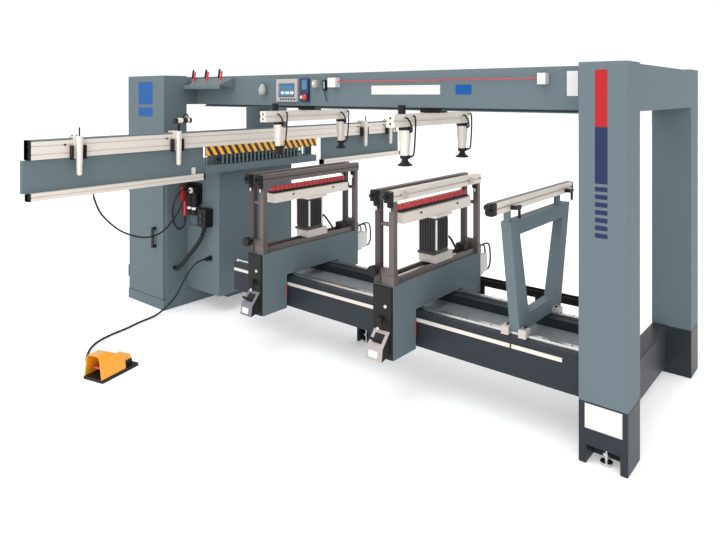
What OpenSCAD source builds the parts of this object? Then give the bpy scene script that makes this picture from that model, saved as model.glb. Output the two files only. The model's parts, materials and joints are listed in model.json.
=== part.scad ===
// Line boring machine for furniture panels: one fixed horizontal boring head at a long cross fence,
// two travelling vertical boring heads, one travelling support, an overhead beam with hold-down
// arms, and a foot pedal on a cable.
// Millimetres. X runs along the bed, Y along the fence, Z up. The origin lies on the floor under
// the middle of the machine.

/* [Overall] */
// Length over the tower and the right portal
machine_length = 3276; // [3200:2:3400]
// Height of the tower and of the right columns
machine_height = 1525; // [1500:1:1560]
// Height of the work plane above the floor
work_height = 973; // [965:1:985]

/* [Left side] */
// Width of the electrical tower
tower_width = 433; // [400:1:440]
// Depth of the electrical tower
tower_depth = 175; // [150:1:180]
// Front face of the tower, from the middle of the fence
tower_front = -454; // [-470:1:-440]
// Sheet thickness of the tower
tower_wall = 4; // [3:0.5:8]
// Height of the tower door
door_height = 830; // [700:1:840]
// Thickness of the tower door
door_thick = 18; // [14:1:22]
// Length of the door grip
grip_length = 132; // [100:1:150]
// Width of the left rear column
rear_column_width = 308; // [250:1:320]
// Front face of the left rear column
rear_column_front = 486; // [470:1:520]
// Height of the plinth behind the tower
plinth_height = 100; // [80:1:110]

/* [Boring cabinet] */
// Width of the cabinet under the horizontal head
cabinet_width = 344; // [330:1:360]
// Rear face of the cabinet
cabinet_rear = 357; // [340:1:370]
// Height of the cabinet's lower edge above the floor
cabinet_lift = 119; // [112:1:140]
// How far the table stands out past the cabinet
table_overhang = 126; // [120:1:140]
// Thickness of the table plate
table_thick = 34; // [26:1:36]

/* [Fence] */
// Length of the fence
fence_length = 2996; // [2900:2:3100]
// Height of the fence profile
profile_height = 95; // [80:1:100]
// Depth of the fence profile
profile_depth = 50; // [40:1:60]
// Height of the profile's lower edge above the work plane
profile_lift = 116; // [110:1:125]
// Height of the lower fence rail
rail_height = 37; // [30:1:40]
// Depth of the lower fence rail
rail_depth = 40; // [30:1:45]
// Height of the lower rail's top below the work plane
rail_drop = 43; // [40:1:50]
// Inner end of the left fence section
left_section_end = -474; // [-500:1:-473]
// Inner end of the right fence section
right_section_start = 549; // [500:1:580]
// Places of the four panel stops: two from the left end and two from the right end of the fence
stop_places = [250, 820, 492, 168];

/* [Horizontal head] */
// Spindles of the horizontal head
side_spindles = 22; // [18:1:24]
// Middle of the horizontal spindle row
side_row_middle = 7; // [0:1:20]
// Height of the horizontal spindles above the work plane
side_axis_lift = 27; // [25:1:30]
// Feed stroke of the horizontal head
side_stroke = 60; // [40:1:60]
// Height of the striped guard
guard_height = 54; // [45:1:60]

/* [Boring heads] */
// Pitch of the spindles
pitch = 32; // [32:1:34]
// Spindles of each vertical head
spindles = 19; // [17:1:21]
// Diameter of the drill chucks
chuck_d = 18; // [16:0.5:20]
// Places of the two travelling heads: from the bed's left end and from the right portal
head_places = [425, 817];
// Width of a head's saddle
saddle_width = 106; // [100:1:120]
// Front face of the saddle
saddle_front = -524; // [-530:1:-515]
// Rear face of the saddle
saddle_rear = 267; // [260:1:290]
// Height of the saddle's top above the floor
saddle_top = 549; // [540:1:555]
// Height of the saddle's front foot above the floor
saddle_foot = 220; // [200:1:240]
// Height of the saddle's rear foot above the floor
saddle_rear_foot = 333; // [330:1:350]
// Side of the square posts on the saddle
post_side = 28; // [24:1:32]
// Height of the panel support bars
bar_height = 49; // [44:1:50]
// Width of the panel support bars
bar_width = 32; // [28:1:34]
// How far the bars stand out in front of the posts
bar_overhang = 46; // [20:1:60]
// Lift stroke of a vertical head
lift_stroke = 65; // [50:1:70]
// Diameter of the drive motors, over the corners of the upright ones' square bodies
motor_d = 118; // [100:1:124]
// Height of the drive motor's body
motor_height = 165; // [160:1:178]
// Diameter of the guide columns
guide_d = 24; // [20:1:28]

/* [Bed] */
// Front face of the bed
bed_front = -332; // [-335:1:-325]
// Depth of the bed
bed_depth = 398; // [390:1:400]
// Height of the bed's lower edge above the floor
bed_lift = 225; // [215:1:230]
// Height of the bed's side beams
bed_height = 163; // [155:1:165]
// Width of the bed's side beams
bed_beam = 80; // [60:1:90]
// Distance from the cabinet to the bed's left end
bed_start = 214; // [180:1:230]
// Width of the guide rails
guide_width = 26; // [20:1:30]
// Height of the guide rails
guide_height = 16; // [12:1:18]

/* [Third support] */
// Place of the support, from the right portal
support_place = 287; // [240:1:320]
// Thickness of the support frame
support_thick = 44; // [36:1:50]
// Front end of the support bar
support_bar_front = -537; // [-570:1:-500]
// Length of the support bar
support_bar_length = 837; // [800:1:880]

/* [Overhead beam] */
// Front face of the overhead beam
beam_front = -200; // [-205:1:-190]
// Height of the overhead beam
beam_height = 183; // [175:1:190]
// Depth of the overhead beam
beam_depth = 170; // [160:1:180]
// Step from the top of the tower down to the top of the beam
beam_step = 6; // [0:1:10]
// Width of the hold-down arms
arm_width = 48; // [44:1:56]
// Height of the hold-down arms
arm_height = 60; // [50:1:64]
// Front end of the hold-down arms
arm_front = -477; // [-490:1:-460]
// Length of the hold-down arms
arm_length = 679; // [660:1:700]
// Places of the two hold-down cylinders along an arm
presser_places = [-361, 164];
// Stroke of the hold-down cylinders
presser_stroke = 85; // [60:1:88]

/* [Right portal] */
// Width of the right columns
column_width = 182; // [170:1:190]
// Depth of the right columns
column_depth = 155; // [150:1:160]
// Front face of the right front column
column_front = -369; // [-380:1:-360]
// Front face of the right rear column
portal_rear = 660; // [640:1:690]
// Height of the dark feet under the columns
foot_height = 235; // [232:1:250]
// Height of the low beam that ties the feet
base_height = 182; // [170:1:200]

/* [Foot pedal] */
// Length of the pedal
pedal_length = 229; // [210:1:240]
// Width of the pedal
pedal_width = 131; // [120:1:140]
// Height of the pedal's hood
pedal_height = 128; // [118:1:138]
// Place of the pedal's front right corner
pedal_corner = [-543, -1215];
// How far the pedal is turned on the floor, in degrees
pedal_turn = 14; // [10:1:20]
// Diameter of the pedal's cable
cord_d = 12; // [10:1:14]

/* [Hidden] */
$fn = 48;

// Paints and metals
paint = "#70808a";
charcoal = "#323a42";
alloy = "#d9d2c8";
bronze = "#736461";
steel = "#c2c6c8";
black = "#28282c";
red = "#be282d";
yellow = "#f5b03a";
beige = "#d8cdb8";

// Clearances: between bodies that slide on each other, and of a shaft in its bore
run_gap = 0.4;
bore_gap = 0.05;
// Wall of the welded box sections
tube_wall = 6;

// Lines across the machine
left_x = -machine_length / 2;
right_x = machine_length / 2;
tower_right = left_x + tower_width;
tower_rear = tower_front + tower_depth;
cabinet_right = tower_right + cabinet_width;
fence_face = cabinet_right + table_overhang;
fence_back = fence_face - profile_depth;
portal_left = right_x - column_width;
beam_top = machine_height - beam_step;
beam_bottom = beam_top - beam_height;
beam_middle = beam_front + beam_depth / 2;

// Levels of the fence
profile_bottom = work_height + profile_lift;
profile_top = profile_bottom + profile_height;
rail_top = work_height - rail_drop;
table_top = work_height - 1;
table_bottom = table_top - table_thick;
guard_bottom = profile_bottom - guard_height;
guard_thick = 6;
side_axis = work_height + side_axis_lift;
side_row = (side_spindles - 1) * pitch;
guard_end = [side_row_middle - side_row / 2 - 140, side_row_middle + side_row / 2 + 140];

// Levels of the bed and the heads
bed_top = bed_lift + bed_height;
bed_rear = bed_front + bed_depth;
bed_left = cabinet_right + bed_start;
head_x = [bed_left + head_places[0], portal_left - head_places[1]];
support_x = portal_left - support_place;
guide_top = bed_top + guide_height;
guide_lines = [bed_front + bed_beam / 2 - 6, bed_rear - bed_beam / 2 + 6];
notch_level = guide_top + run_gap;
leg_gap = 15;
row_length = (spindles - 1) * pitch;
row_middle = (saddle_front + saddle_rear) / 2 + 10.5;
post_lines = [saddle_front + 3 + post_side / 2, saddle_rear - 3 - post_side / 2];
post_offset = saddle_width / 2 - post_side / 2;
bar_bottom = work_height - bar_height;
block_height = 70;
block_top = saddle_top + block_height;
flange_bottom = block_top + run_gap;
flange_thick = 12;
motor_bottom = flange_bottom + flange_thick;
motor_top = motor_bottom + motor_height;
gearbox_height = 61;
gearbox_top = motor_top + gearbox_height;
gearbox_width = 76;
chuck_length = 37;
row_margin = 18;
block_side = 50;
motor_side = 0.86 * motor_d;
// The two guide columns stand side by side behind the motor
guide_spread = 22;
guide_line = row_middle + motor_side / 2 + 27;
block_end = [row_middle - motor_side / 2 - 5, guide_line + 24];
guide_bottom = saddle_top - lift_stroke - 54;

// Boxes and bars given by their end planes
module box(x, y, z) translate([x[0], y[0], z[0]]) cube([x[1] - x[0], y[1] - y[0], z[1] - z[0]]);
module bar_x(x, y, z, d) translate([x[0], y, z]) rotate([0, 90, 0]) cylinder(d = d, h = x[1] - x[0]);
module bar_y(x, y, z, d) translate([x, y[1], z]) rotate([90, 0, 0]) cylinder(d = d, h = y[1] - y[0]);
module bar_z(x, y, z, d) translate([x, y, z[0]]) cylinder(d = d, h = z[1] - z[0]);
// Shrinks a pair of end planes by a wall on both sides
function inset(pair, wall) = [pair[0] + wall, pair[1] - wall];
// End planes on both sides of a middle
function about(middle, size) = [middle - size / 2, middle + size / 2];
// A welded box section, open along one axis so that its inside is not sealed
module tube(x, y, z, open) {
    difference() {
        box(x, y, z);
        box(open == "x" ? inset(x, -1) : inset(x, tube_wall),
            open == "y" ? inset(y, -1) : inset(y, tube_wall),
            open == "z" ? [z[0] - 1, z[1] - tube_wall] : inset(z, tube_wall));
    }
}
// A flat plate in the YZ plane with a given outline
module plate_yz(x, thick) {
    translate([x, 0, 0]) rotate([90, 0, 90]) linear_extrude(thick) children();
}

// Left side: electrical tower, door and rear column
door_bottom = 70;
door_top = door_bottom + door_height;
door_side = [left_x + 14, tower_right - 10];
module left_tower() {
    shell_front = tower_front + door_thick + run_gap;
    color(paint) difference() {
        union() {
            box([left_x, tower_right], [shell_front, tower_rear], [0, machine_height]);
            box([left_x, tower_right], [tower_front, shell_front], [door_top + 4, machine_height]);
            box([left_x, tower_right], [tower_front, shell_front], [0, door_bottom - 4]);
        }
        box(inset(door_side, 16), [tower_front - 1, tower_rear - tower_wall],
            inset([door_bottom, door_top], 16));
    }
}
module cabinet_door() {
    grip_x = tower_right - 97;
    grip_bottom = 399;
    grip_width = 22;
    grip_depth = 26;
    hinge_d = 14;
    hinge_length = 80;
    color(paint) {
        box(door_side, [tower_front, tower_front + door_thick], [door_bottom, door_top]);
        for (z = [door_bottom + 80, door_top - 80 - hinge_length])
            bar_z(door_side[0], tower_front, [z, z + hinge_length], hinge_d);
    }
    color(black) difference() {
        box([grip_x - grip_width / 2, grip_x + grip_width / 2], [tower_front - grip_depth, tower_front],
            [grip_bottom, grip_bottom + grip_length]);
        box([grip_x - grip_width, grip_x + grip_width], [tower_front - grip_depth + 8, tower_front + 1],
            inset([grip_bottom, grip_bottom + grip_length], 16));
    }
}
module left_portal() {
    column = [tower_right - rear_column_width, tower_right];
    cross = [tower_right - 190, tower_right];
    column_back = rear_column_front + column_depth;
    color(paint) {
        tube(column, [rear_column_front, column_back], [0, beam_top], "z");
        tube(cross, [tower_rear, rear_column_front], [beam_bottom, beam_top], "y");
        tube([left_x, tower_right], [tower_rear, rear_column_front], [0, plinth_height], "y");
    }
}

// Overhead beam with the tee rail that carries the hold-down arms
tee_neck = 20;
tee_head = 44;
tee_step = 8;
tee_bottom = beam_bottom - 2 * tee_step;
module overhead_beam() {
    span = [tower_right, portal_left];
    color(paint) {
        tube(span, [beam_front, beam_front + beam_depth], [beam_bottom, beam_top], "x");
        box(span, about(beam_middle, tee_neck), [beam_bottom - tee_step, beam_bottom]);
        box(span, about(beam_middle, tee_head), [tee_bottom, beam_bottom - tee_step]);
    }
}

// Right portal on its dark base
column_back = column_front + column_depth;
module right_portal() {
    color(paint) {
        for (front = [column_front, portal_rear])
            tube([portal_left, right_x], [front, front + column_depth], [foot_height, machine_height], "z");
        tube([portal_left, right_x], [column_back, portal_rear], [beam_bottom, beam_top], "y");
    }
}
notch_width = 124;
notch_height = 71;
notch_depth = 90;
tie_width = 81;
column_middle = right_x - column_width / 2;
base_rear = portal_rear + column_depth;
module right_base() {
    width = [portal_left, right_x];
    notch = about(column_middle, notch_width);
    color(charcoal) {
        difference() {
            box(width, [column_front, column_back], [0, foot_height]);
            box(notch, [column_front - 1, column_front + notch_depth], [-1, notch_height]);
        }
        difference() {
            box(width, [portal_rear, base_rear], [0, foot_height]);
            box(notch, [base_rear - notch_depth, base_rear + 1], [-1, notch_height]);
        }
        tube([portal_left, portal_left + tie_width], [column_back, portal_rear],
            [foot_height - base_height, foot_height], "y");
    }
}

// Cabinet of the horizontal head with its table and the brackets of the fence
module head_cabinet() {
    bracket = 12;
    foot_width = 100;
    foot_setback = 260;
    color(paint) {
        difference() {
            box([tower_right, cabinet_right], [tower_rear, cabinet_rear], [cabinet_lift, table_bottom]);
            box(inset([tower_right, cabinet_right], tube_wall), inset([tower_rear, cabinet_rear], tube_wall),
                [cabinet_lift - 1, table_bottom - tube_wall]);
        }
        box([tower_right + 20, fence_face - guard_thick - 12], guard_end, [table_bottom, table_top]);
        box([fence_face - guard_thick - 12, fence_face], guard_end, [table_bottom - 12, table_top]);
        for (end = [[guard_end[0], guard_end[0] + bracket], [guard_end[1] - bracket, guard_end[1]]])
            box([cabinet_right, fence_back], end, [table_top, profile_top - 8]);
    }
    color(charcoal)
        box([tower_right, tower_right + foot_width], [tower_rear + foot_setback, cabinet_rear - 60],
            [0, cabinet_lift]);
}

// Bed: two side beams, end plates, a tie to the cabinet and the middle foot
foot_side = 90;
foot_middle = [113, -30 + foot_side / 2];
module bed_frame() {
    front_beam = [bed_front, bed_front + bed_beam];
    rear_beam = [bed_rear - bed_beam, bed_rear];
    between = [front_beam[1], rear_beam[0]];
    end_thick = 20;
    tie_height = 60;
    color(charcoal) {
        for (side = [front_beam, rear_beam])
            tube([bed_left, portal_left], side, [bed_lift, bed_top], "x");
        box([bed_left, bed_left + end_thick], between, [bed_lift, tray_level]);
        box([portal_left - end_thick, portal_left], between, [bed_lift, bed_top]);
        box([cabinet_right, bed_left], inset(rear_beam, 10), [bed_lift + 10, bed_lift + tie_height]);
        difference() {
            box(about(foot_middle[0], foot_side), about(foot_middle[1], foot_side), [0, bed_lift + 20]);
            box([foot_middle[0] - foot_side / 2 + 14, foot_middle[0] + foot_side / 2 - 14],
                [foot_middle[1] - foot_side / 2 - 1, foot_middle[1] + 20], [-1, 80]);
        }
        box(about(foot_middle[0], 120), between, [bed_lift, bed_lift + 20]);
    }
}
strip_thick = 6;
strip_height = 17;
strip_joint = support_x - 9;
strip_margin = 76;
strip_end = portal_left - strip_margin;
module bed_rails() {
    strip_bottom = bed_top - 45;
    color(steel) for (y = guide_lines)
        box([bed_left, portal_left], [y - guide_width / 2, y + guide_width / 2], [bed_top, guide_top]);
    color(alloy) for (run = [[bed_left + 8, strip_joint - 4], [strip_joint + 4, strip_end]])
        box(run, [bed_front - strip_thick, bed_front], [strip_bottom, strip_bottom + strip_height]);
}
tray_level = 342;
module chip_tray() {
    tray = [bed_front + bed_beam, bed_rear - bed_beam];
    color("#5c6670") box([bed_left + 20, portal_left - 20], tray, [tray_level, tray_level + 4]);
}
module levelling_feet() {
    pad_d = 46;
    bolt_d = 16;
    spots = [
        [column_middle, column_front + 45, notch_height],
        [column_middle, base_rear - 45, notch_height],
        [foot_middle[0], foot_middle[1] - 12, 80]
    ];
    color(steel) for (spot = spots) {
        bar_z(spot[0], spot[1], [0, 12], pad_d);
        bar_z(spot[0], spot[1], [12, spot[2]], bolt_d);
        translate([spot[0], spot[1], 34]) cylinder(d = 30, h = 13, $fn = 6);
    }
}
duct_size = [50, 36];
duct_bottom = 365;
module cable_duct() {
    wall = 5;
    clear = 8;
    arms = 3;
    bracket = 50;
    plate = 12;
    arm_bottom = saddle_rear_foot - 29;
    run = [head_x[1] - 40, portal_left - 10];
    duct = [saddle_rear + clear, saddle_rear + clear + duct_size[0]];
    color(black) {
        difference() {
            box(run, duct, [duct_bottom, duct_bottom + duct_size[1]]);
            box(inset(run, -1), inset(duct, wall), [duct_bottom + wall, duct_bottom + duct_size[1] + 1]);
        }
        // Bent brackets reach under the saddles' rear legs and up to the duct
        for (k = [0 : arms - 1]) {
            x = run[0] + 60 + k * (run[1] - run[0] - 120 - bracket) / (arms - 1);
            box([x, x + bracket], [bed_rear, duct[0] + plate], [arm_bottom, arm_bottom + plate]);
            box([x, x + bracket], [duct[0], duct[0] + plate], [arm_bottom, duct_bottom + wall / 2]);
        }
    }
}

// Fence: grooved profile, and a panel over a rail on each side of the horizontal head
groove = 5;
fence_left = -fence_length / 2;
fence_right = fence_length / 2;
// How far the metal starts inside the panels' left end and stops before their right end
metal_start = 18;
metal_stop = 51;
stop_lines = [fence_left + stop_places[0], fence_left + stop_places[1],
    fence_right - stop_places[2], fence_right - stop_places[3]];
module groove_along(run, z) {
    box([fence_face - groove, fence_face + 1], inset(run, -1), [z - groove / 2, z + groove / 2]);
}
module fence_profile() {
    span = [fence_left + metal_start, fence_right - metal_stop];
    color(alloy) difference() {
        box([fence_back, fence_face], span, [profile_bottom, profile_top]);
        for (level = [0.26, 0.68])
            groove_along(span, profile_bottom + profile_height * level);
    }
}
module fence_skirts() {
    sheet = 4;
    fold = 24;
    panel_back = fence_face - 26;
    for (end = [[fence_left, left_section_end, 1], [fence_right, right_section_start, -1]]) {
        run = [min(end[0], end[1]), max(end[0], end[1])];
        metal = end[2] > 0 ? [run[0] + metal_start, run[1]] : run;
        edge = [end[0] - (end[2] > 0 ? 0 : sheet), end[0] + (end[2] > 0 ? sheet : 0)];
        color(paint) {
            box([panel_back, panel_back + sheet], run, [rail_top, profile_bottom]);
            box([panel_back - fold, panel_back + sheet], edge, [rail_top, profile_bottom]);
        }
        color(alloy) difference() {
            box([fence_face - rail_depth, fence_face], metal, [rail_top - rail_height, rail_top]);
            groove_along(metal, rail_top - rail_height / 2);
        }
    }
}
// A panel stop: a clamp over the profile between two cheeks, a tapered finger in front and a pin on top
module panel_stop(i) {
    clamp = 44;
    wall = 16;
    cap = 10;
    finger_root = 36;
    finger_tip = 26;
    finger_drop = 91;
    cheek = 10;
    cheek_spread = 32;
    pin = 8;
    pin_rise = 44;
    cylinder_rise = 68;
    y = stop_lines[i];
    face = fence_face + run_gap;
    top = profile_top + run_gap;
    finger_x = face + wall + finger_root / 2 - 8;
    finger_end = profile_bottom - finger_drop + finger_tip / 2;
    color(alloy) {
        box([fence_back + 8, face + wall], [y - clamp / 2, y + clamp / 2], [top, top + cap]);
        box([face, face + wall], [y - clamp / 2, y + clamp / 2], [profile_bottom - 4, top + cap]);
        translate([finger_x, y, finger_end])
            cylinder(d1 = finger_tip, d2 = finger_root, h = top + cap - finger_end);
        translate([finger_x, y, finger_end]) sphere(d = finger_tip);
    }
    color(black) for (side = [-1, 1]) {
        place = y + side * cheek_spread;
        box([face, face + wall + 12], [place - cheek / 2, place + cheek / 2],
            [profile_bottom - 10, profile_bottom + 60]);
        box([face + 4, face + wall - 4], [min(y, place), max(y, place)],
            [profile_bottom + 44, profile_bottom + 54]);
    }
    // The second stop is driven by a small air cylinder on top, the others have a pull pin
    if (i == 1) {
        color(black) bar_z(finger_x, y, [top + cap, top + cylinder_rise], 16);
        color(alloy) bar_y(finger_x, [y - 24, y + 76], top + cylinder_rise, 30);
    } else {
        color(black) bar_z(finger_x, y, [top + cap, top + cap + pin_rise], pin);
    }
}

// Horizontal head: striped finger guard, gearbox, chucks and motor
module hazard_guard() {
    face = [fence_face - guard_thick, fence_face];
    finger = 10;
    color(yellow) box(face, guard_end, [guard_bottom, profile_bottom]);
    color(paint) for (i = [0 : side_spindles]) {
        y = side_row_middle + (i - side_spindles / 2) * pitch;
        box(face, [y - finger / 2, y + finger / 2], [table_top + 4, guard_bottom]);
    }
}
side_front = fence_face - guard_thick - side_stroke - 9;
side_depth = 62;
module side_gearbox() {
    half = side_row / 2 + 34;
    color(alloy) box([side_front - side_depth, side_front], [side_row_middle - half, side_row_middle + half],
        [table_top + run_gap, side_axis + 32]);
}
module side_chucks() {
    length = 62;
    color(red) for (i = [0 : side_spindles - 1])
        bar_x([side_front, side_front + length],
            side_row_middle + (i - (side_spindles - 1) / 2) * pitch, side_axis, chuck_d);
}
module side_motor() {
    rear = side_front - side_depth;
    length = 190;
    centre = table_top + run_gap + 10 + motor_d / 2;
    color(black) {
        bar_x([rear - length, rear], side_row_middle, centre, motor_d);
        box([rear - length + 20, rear - 20], [side_row_middle - 60, side_row_middle + 60],
            [table_top + run_gap, centre - 30]);
    }
}

// Travelling head: saddle over the bed
module saddle(i) {
    leg = bed_front - leg_gap;
    rear_leg = bed_rear + leg_gap - 3;
    color(paint) difference() {
        plate_yz(head_x[i] - saddle_width / 2, saddle_width)
            polygon([
                [saddle_front, saddle_foot], [leg, saddle_foot], [leg, notch_level], [rear_leg, notch_level],
                [rear_leg, saddle_rear_foot], [saddle_rear, saddle_rear_foot], [saddle_rear, saddle_top],
                [saddle_front, saddle_top]
            ]);
        for (side = [-1, 1])
            bar_z(head_x[i] + side * guide_spread, guide_line, [guide_bottom - 6, saddle_top + 1],
                guide_d + 4);
    }
}
// Four square posts, tied in pairs by a round link
module posts(i) {
    link_z = saddle_top + 270;
    link_d = 20;
    color(bronze) {
        for (x = [-post_offset, post_offset], y = post_lines)
            box(about(head_x[i] + x, post_side), about(y, post_side), [saddle_top, bar_bottom]);
        for (y = post_lines)
            bar_x(about(head_x[i], 2 * post_offset - post_side), y, link_z, link_d);
    }
}
// Two support bars along the fence direction
module bars(i) {
    slot = 8;
    span = [post_lines[0] - bar_overhang, post_lines[1] + 20];
    for (side = [-1, 1]) {
        x = head_x[i] + side * (saddle_width / 2 - bar_width / 2 + 2);
        outer = x + side * bar_width / 2;
        color(side < 0 ? bronze : alloy) difference() {
            box([x - bar_width / 2, x + bar_width / 2], span, [bar_bottom, work_height]);
            box([outer - slot, outer + slot], inset(span, -1),
                [work_height - bar_height / 2 - slot / 2, work_height - bar_height / 2 + slot / 2]);
        }
    }
}
// Bores in which a boring unit's guide columns run
module guide_bores(i) {
    for (side = [-1, 1])
        bar_z(head_x[i] + side * guide_spread, guide_line, [saddle_top - 1, block_top + 1],
            guide_d + 2 * bore_gap);
}
// Rails and guide block that carry the boring unit on the saddle
module lift_base(i) {
    rail = 14;
    rail_rise = 28;
    rail_spread = 32;
    color(steel) difference() {
        for (side = [-1, 1])
            box(about(head_x[i] + side * rail_spread, rail),
                [post_lines[0] + post_side, post_lines[1] - post_side], [saddle_top, saddle_top + rail_rise]);
        guide_bores(i);
    }
    color(beige) difference() {
        box(about(head_x[i], 2 * block_side), block_end, [saddle_top + rail_rise, block_top]);
        guide_bores(i);
    }
}
// Front plate with the position counter, and the valve box at the rear
module controls(i) {
    plate = 14;
    valve_depth = 63;
    valve_bottom = duct_bottom + duct_size[1] + 10;
    x = head_x[i];
    counter_front = saddle_front - plate - 60;
    color(charcoal) box(about(x, saddle_width - 4), [saddle_front - plate, saddle_front],
        [saddle_foot + 6, saddle_top - 4]);
    color(beige) plate_yz(x - 44, 88) polygon([
        [saddle_front - plate, saddle_foot + 30], [counter_front, saddle_foot + 14],
        [counter_front + 8, saddle_foot + 70], [saddle_front - plate, saddle_foot + 130]
    ]);
    color(beige)
        box(about(x, 72), [saddle_rear, saddle_rear + valve_depth], [valve_bottom, saddle_top - 29]);
    color(black) bar_y(x, [saddle_rear + valve_depth, saddle_rear + valve_depth + 18], valve_bottom + 62, 44);
}
knob_z = saddle_top + 62;
module clamp_knob(i) {
    y = post_lines[0] - post_side / 2;
    x = head_x[i] - post_offset;
    color(black) {
        bar_y(x, [y - 26, y - run_gap], knob_z, 12);
        bar_y(x, [y - 46, y - 20], knob_z, 48);
    }
}
// Boring unit: gearbox with its guide columns, chucks and motor
module gearbox(i) {
    half = row_length / 2 + row_margin;
    plate = 12;
    x = head_x[i];
    color(alloy) {
        box([x - gearbox_width / 2, x + gearbox_width / 2], [row_middle - half, row_middle + half],
            [motor_top + plate, gearbox_top]);
        box([x - block_side, x + block_side], block_end, [motor_top, motor_top + plate]);
    }
    color(steel) for (side = [-1, 1])
        bar_z(x + side * guide_spread, guide_line, [guide_bottom, motor_top], guide_d);
}
module chucks(i) {
    strip = 8;
    cover_margin = row_margin - 2;
    color(black) box([head_x[i] - 17, head_x[i] + 17],
        [row_middle - row_length / 2 - cover_margin, row_middle + row_length / 2 + cover_margin],
        [gearbox_top, gearbox_top + strip]);
    color(red) for (k = [0 : spindles - 1])
        bar_z(head_x[i], row_middle + (k - (spindles - 1) / 2) * pitch,
            [gearbox_top + strip, gearbox_top + strip + chuck_length - strip], chuck_d);
}
module motor(i) {
    fins = 7;
    fin_depth = 5;
    fin_thick = 4;
    skirt = 18;
    x = head_x[i];
    half = motor_side / 2;
    color(black) {
        box([x - block_side, x + block_side], [row_middle - half - skirt, row_middle + half + 5],
            [flange_bottom, motor_bottom]);
        box([x - half, x + half], [row_middle - half, row_middle + half], [motor_bottom, motor_top]);
        for (side = [0 : 3], k = [0 : fins - 1])
            translate([x, row_middle, motor_bottom]) rotate([0, 0, side * 90])
                translate([half - 2, (k + 0.5 - fins / 2) * motor_side / fins - fin_thick / 2, 8])
                    cube([fin_depth + 2, fin_thick, motor_height - 16]);
    }
}

// Third support: a flat frame with slanted legs that carries one bar
support_top = bar_bottom - 44;
support_foot = notch_level;
support_shoulders = [-400, 238];
support_feet = [-314, 128];
module support_frame() {
    member = 62;
    leg = 90;
    outer = [[support_shoulders[0], support_top], [support_shoulders[1], support_top],
        [support_feet[1], support_foot], [support_feet[0], support_foot]];
    inner = [[support_shoulders[0] + leg, support_top - member],
        [support_shoulders[1] - leg, support_top - member],
        [support_feet[1] - leg, support_foot + member], [support_feet[0] + leg, support_foot + member]];
    stub_d = 30;
    stubs = [support_shoulders[0] + stub_d / 2, support_shoulders[1] - 101];
    color(paint) {
        plate_yz(support_x - support_thick / 2, support_thick) difference() {
            polygon(outer);
            polygon(inner);
        }
        for (y = stubs)
            bar_z(support_x, y, [support_top - member / 2, bar_bottom], stub_d);
    }
}
module support_bar() {
    slot = 8;
    half_width = 13;
    handle = 12;
    handle_drop = 34;
    span = [support_bar_front, support_bar_front + support_bar_length];
    levers = [span[0] + 162, span[1] - 95];
    side = [support_x - half_width, support_x + half_width];
    color(alloy) difference() {
        box(side, span, [bar_bottom, work_height]);
        box([side[1] - slot, side[1] + 1], inset(span, -1), [bar_bottom + 20, bar_bottom + 20 + slot]);
    }
    color(black) for (y = levers) {
        bar_x([side[1], side[1] + 26], y, bar_bottom + 14, 18);
        box([side[1] + 12, side[1] + 26], [y - 8, y + 44], [bar_bottom + 6, bar_bottom + 20]);
        bar_z(side[1] + 19, y + 36, [bar_bottom - handle_drop, bar_bottom + 8], handle);
    }
}

// Hold-down arm: profile under the tee rail with two cylinders
arm_top = tee_bottom - 10;
arm_bottom = arm_top - arm_height;
cylinder_d = 42;
cylinder_bottom = arm_bottom - presser_stroke - 65;
rod_d = 16;
module presser_arm(i) {
    x = head_x[i];
    shoe = 110;
    shoe_side = tee_head + 36;
    color(alloy) difference() {
        box(about(x, arm_width), [arm_front, arm_front + arm_length], [arm_bottom, arm_top]);
        for (side = [-1, 1])
            box([x + side * arm_width / 2 - 6, x + side * arm_width / 2 + 6],
                [arm_front - 1, arm_front + arm_length + 1],
                [arm_top - arm_height / 2 - 5, arm_top - arm_height / 2 + 5]);
    }
    color(charcoal) difference() {
        box(about(x, shoe), about(beam_middle, shoe_side),
            [arm_top, beam_bottom - run_gap]);
        box(about(x, 2 * shoe), about(beam_middle, tee_head + 2 * run_gap),
            [tee_bottom - run_gap, beam_bottom - tee_step + run_gap]);
        box(about(x, 2 * shoe), about(beam_middle, tee_neck + 2 * run_gap),
            [tee_bottom, beam_bottom + 1]);
    }
    // Clamp knob on top of the arm, in front of the beam
    color(black) bar_z(x, arm_front + 90, [arm_top, arm_top + 42], 36);
    color(steel) for (y = presser_places) difference() {
        bar_z(x, y, [cylinder_bottom, arm_bottom], cylinder_d);
        bar_z(x, y, [cylinder_bottom - 1, arm_bottom - 6], rod_d + 2 * bore_gap);
    }
}
// Piston rods with their pressing feet
module presser_rods(i) {
    cone = 33;
    for (y = presser_places) {
        color(steel) bar_z(head_x[i], y, [cylinder_bottom - cone, arm_bottom - 12], rod_d);
        color(black) translate([head_x[i], y, cylinder_bottom - cone - run_gap])
            cylinder(d1 = 72, d2 = 44, h = cone);
    }
}

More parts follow.
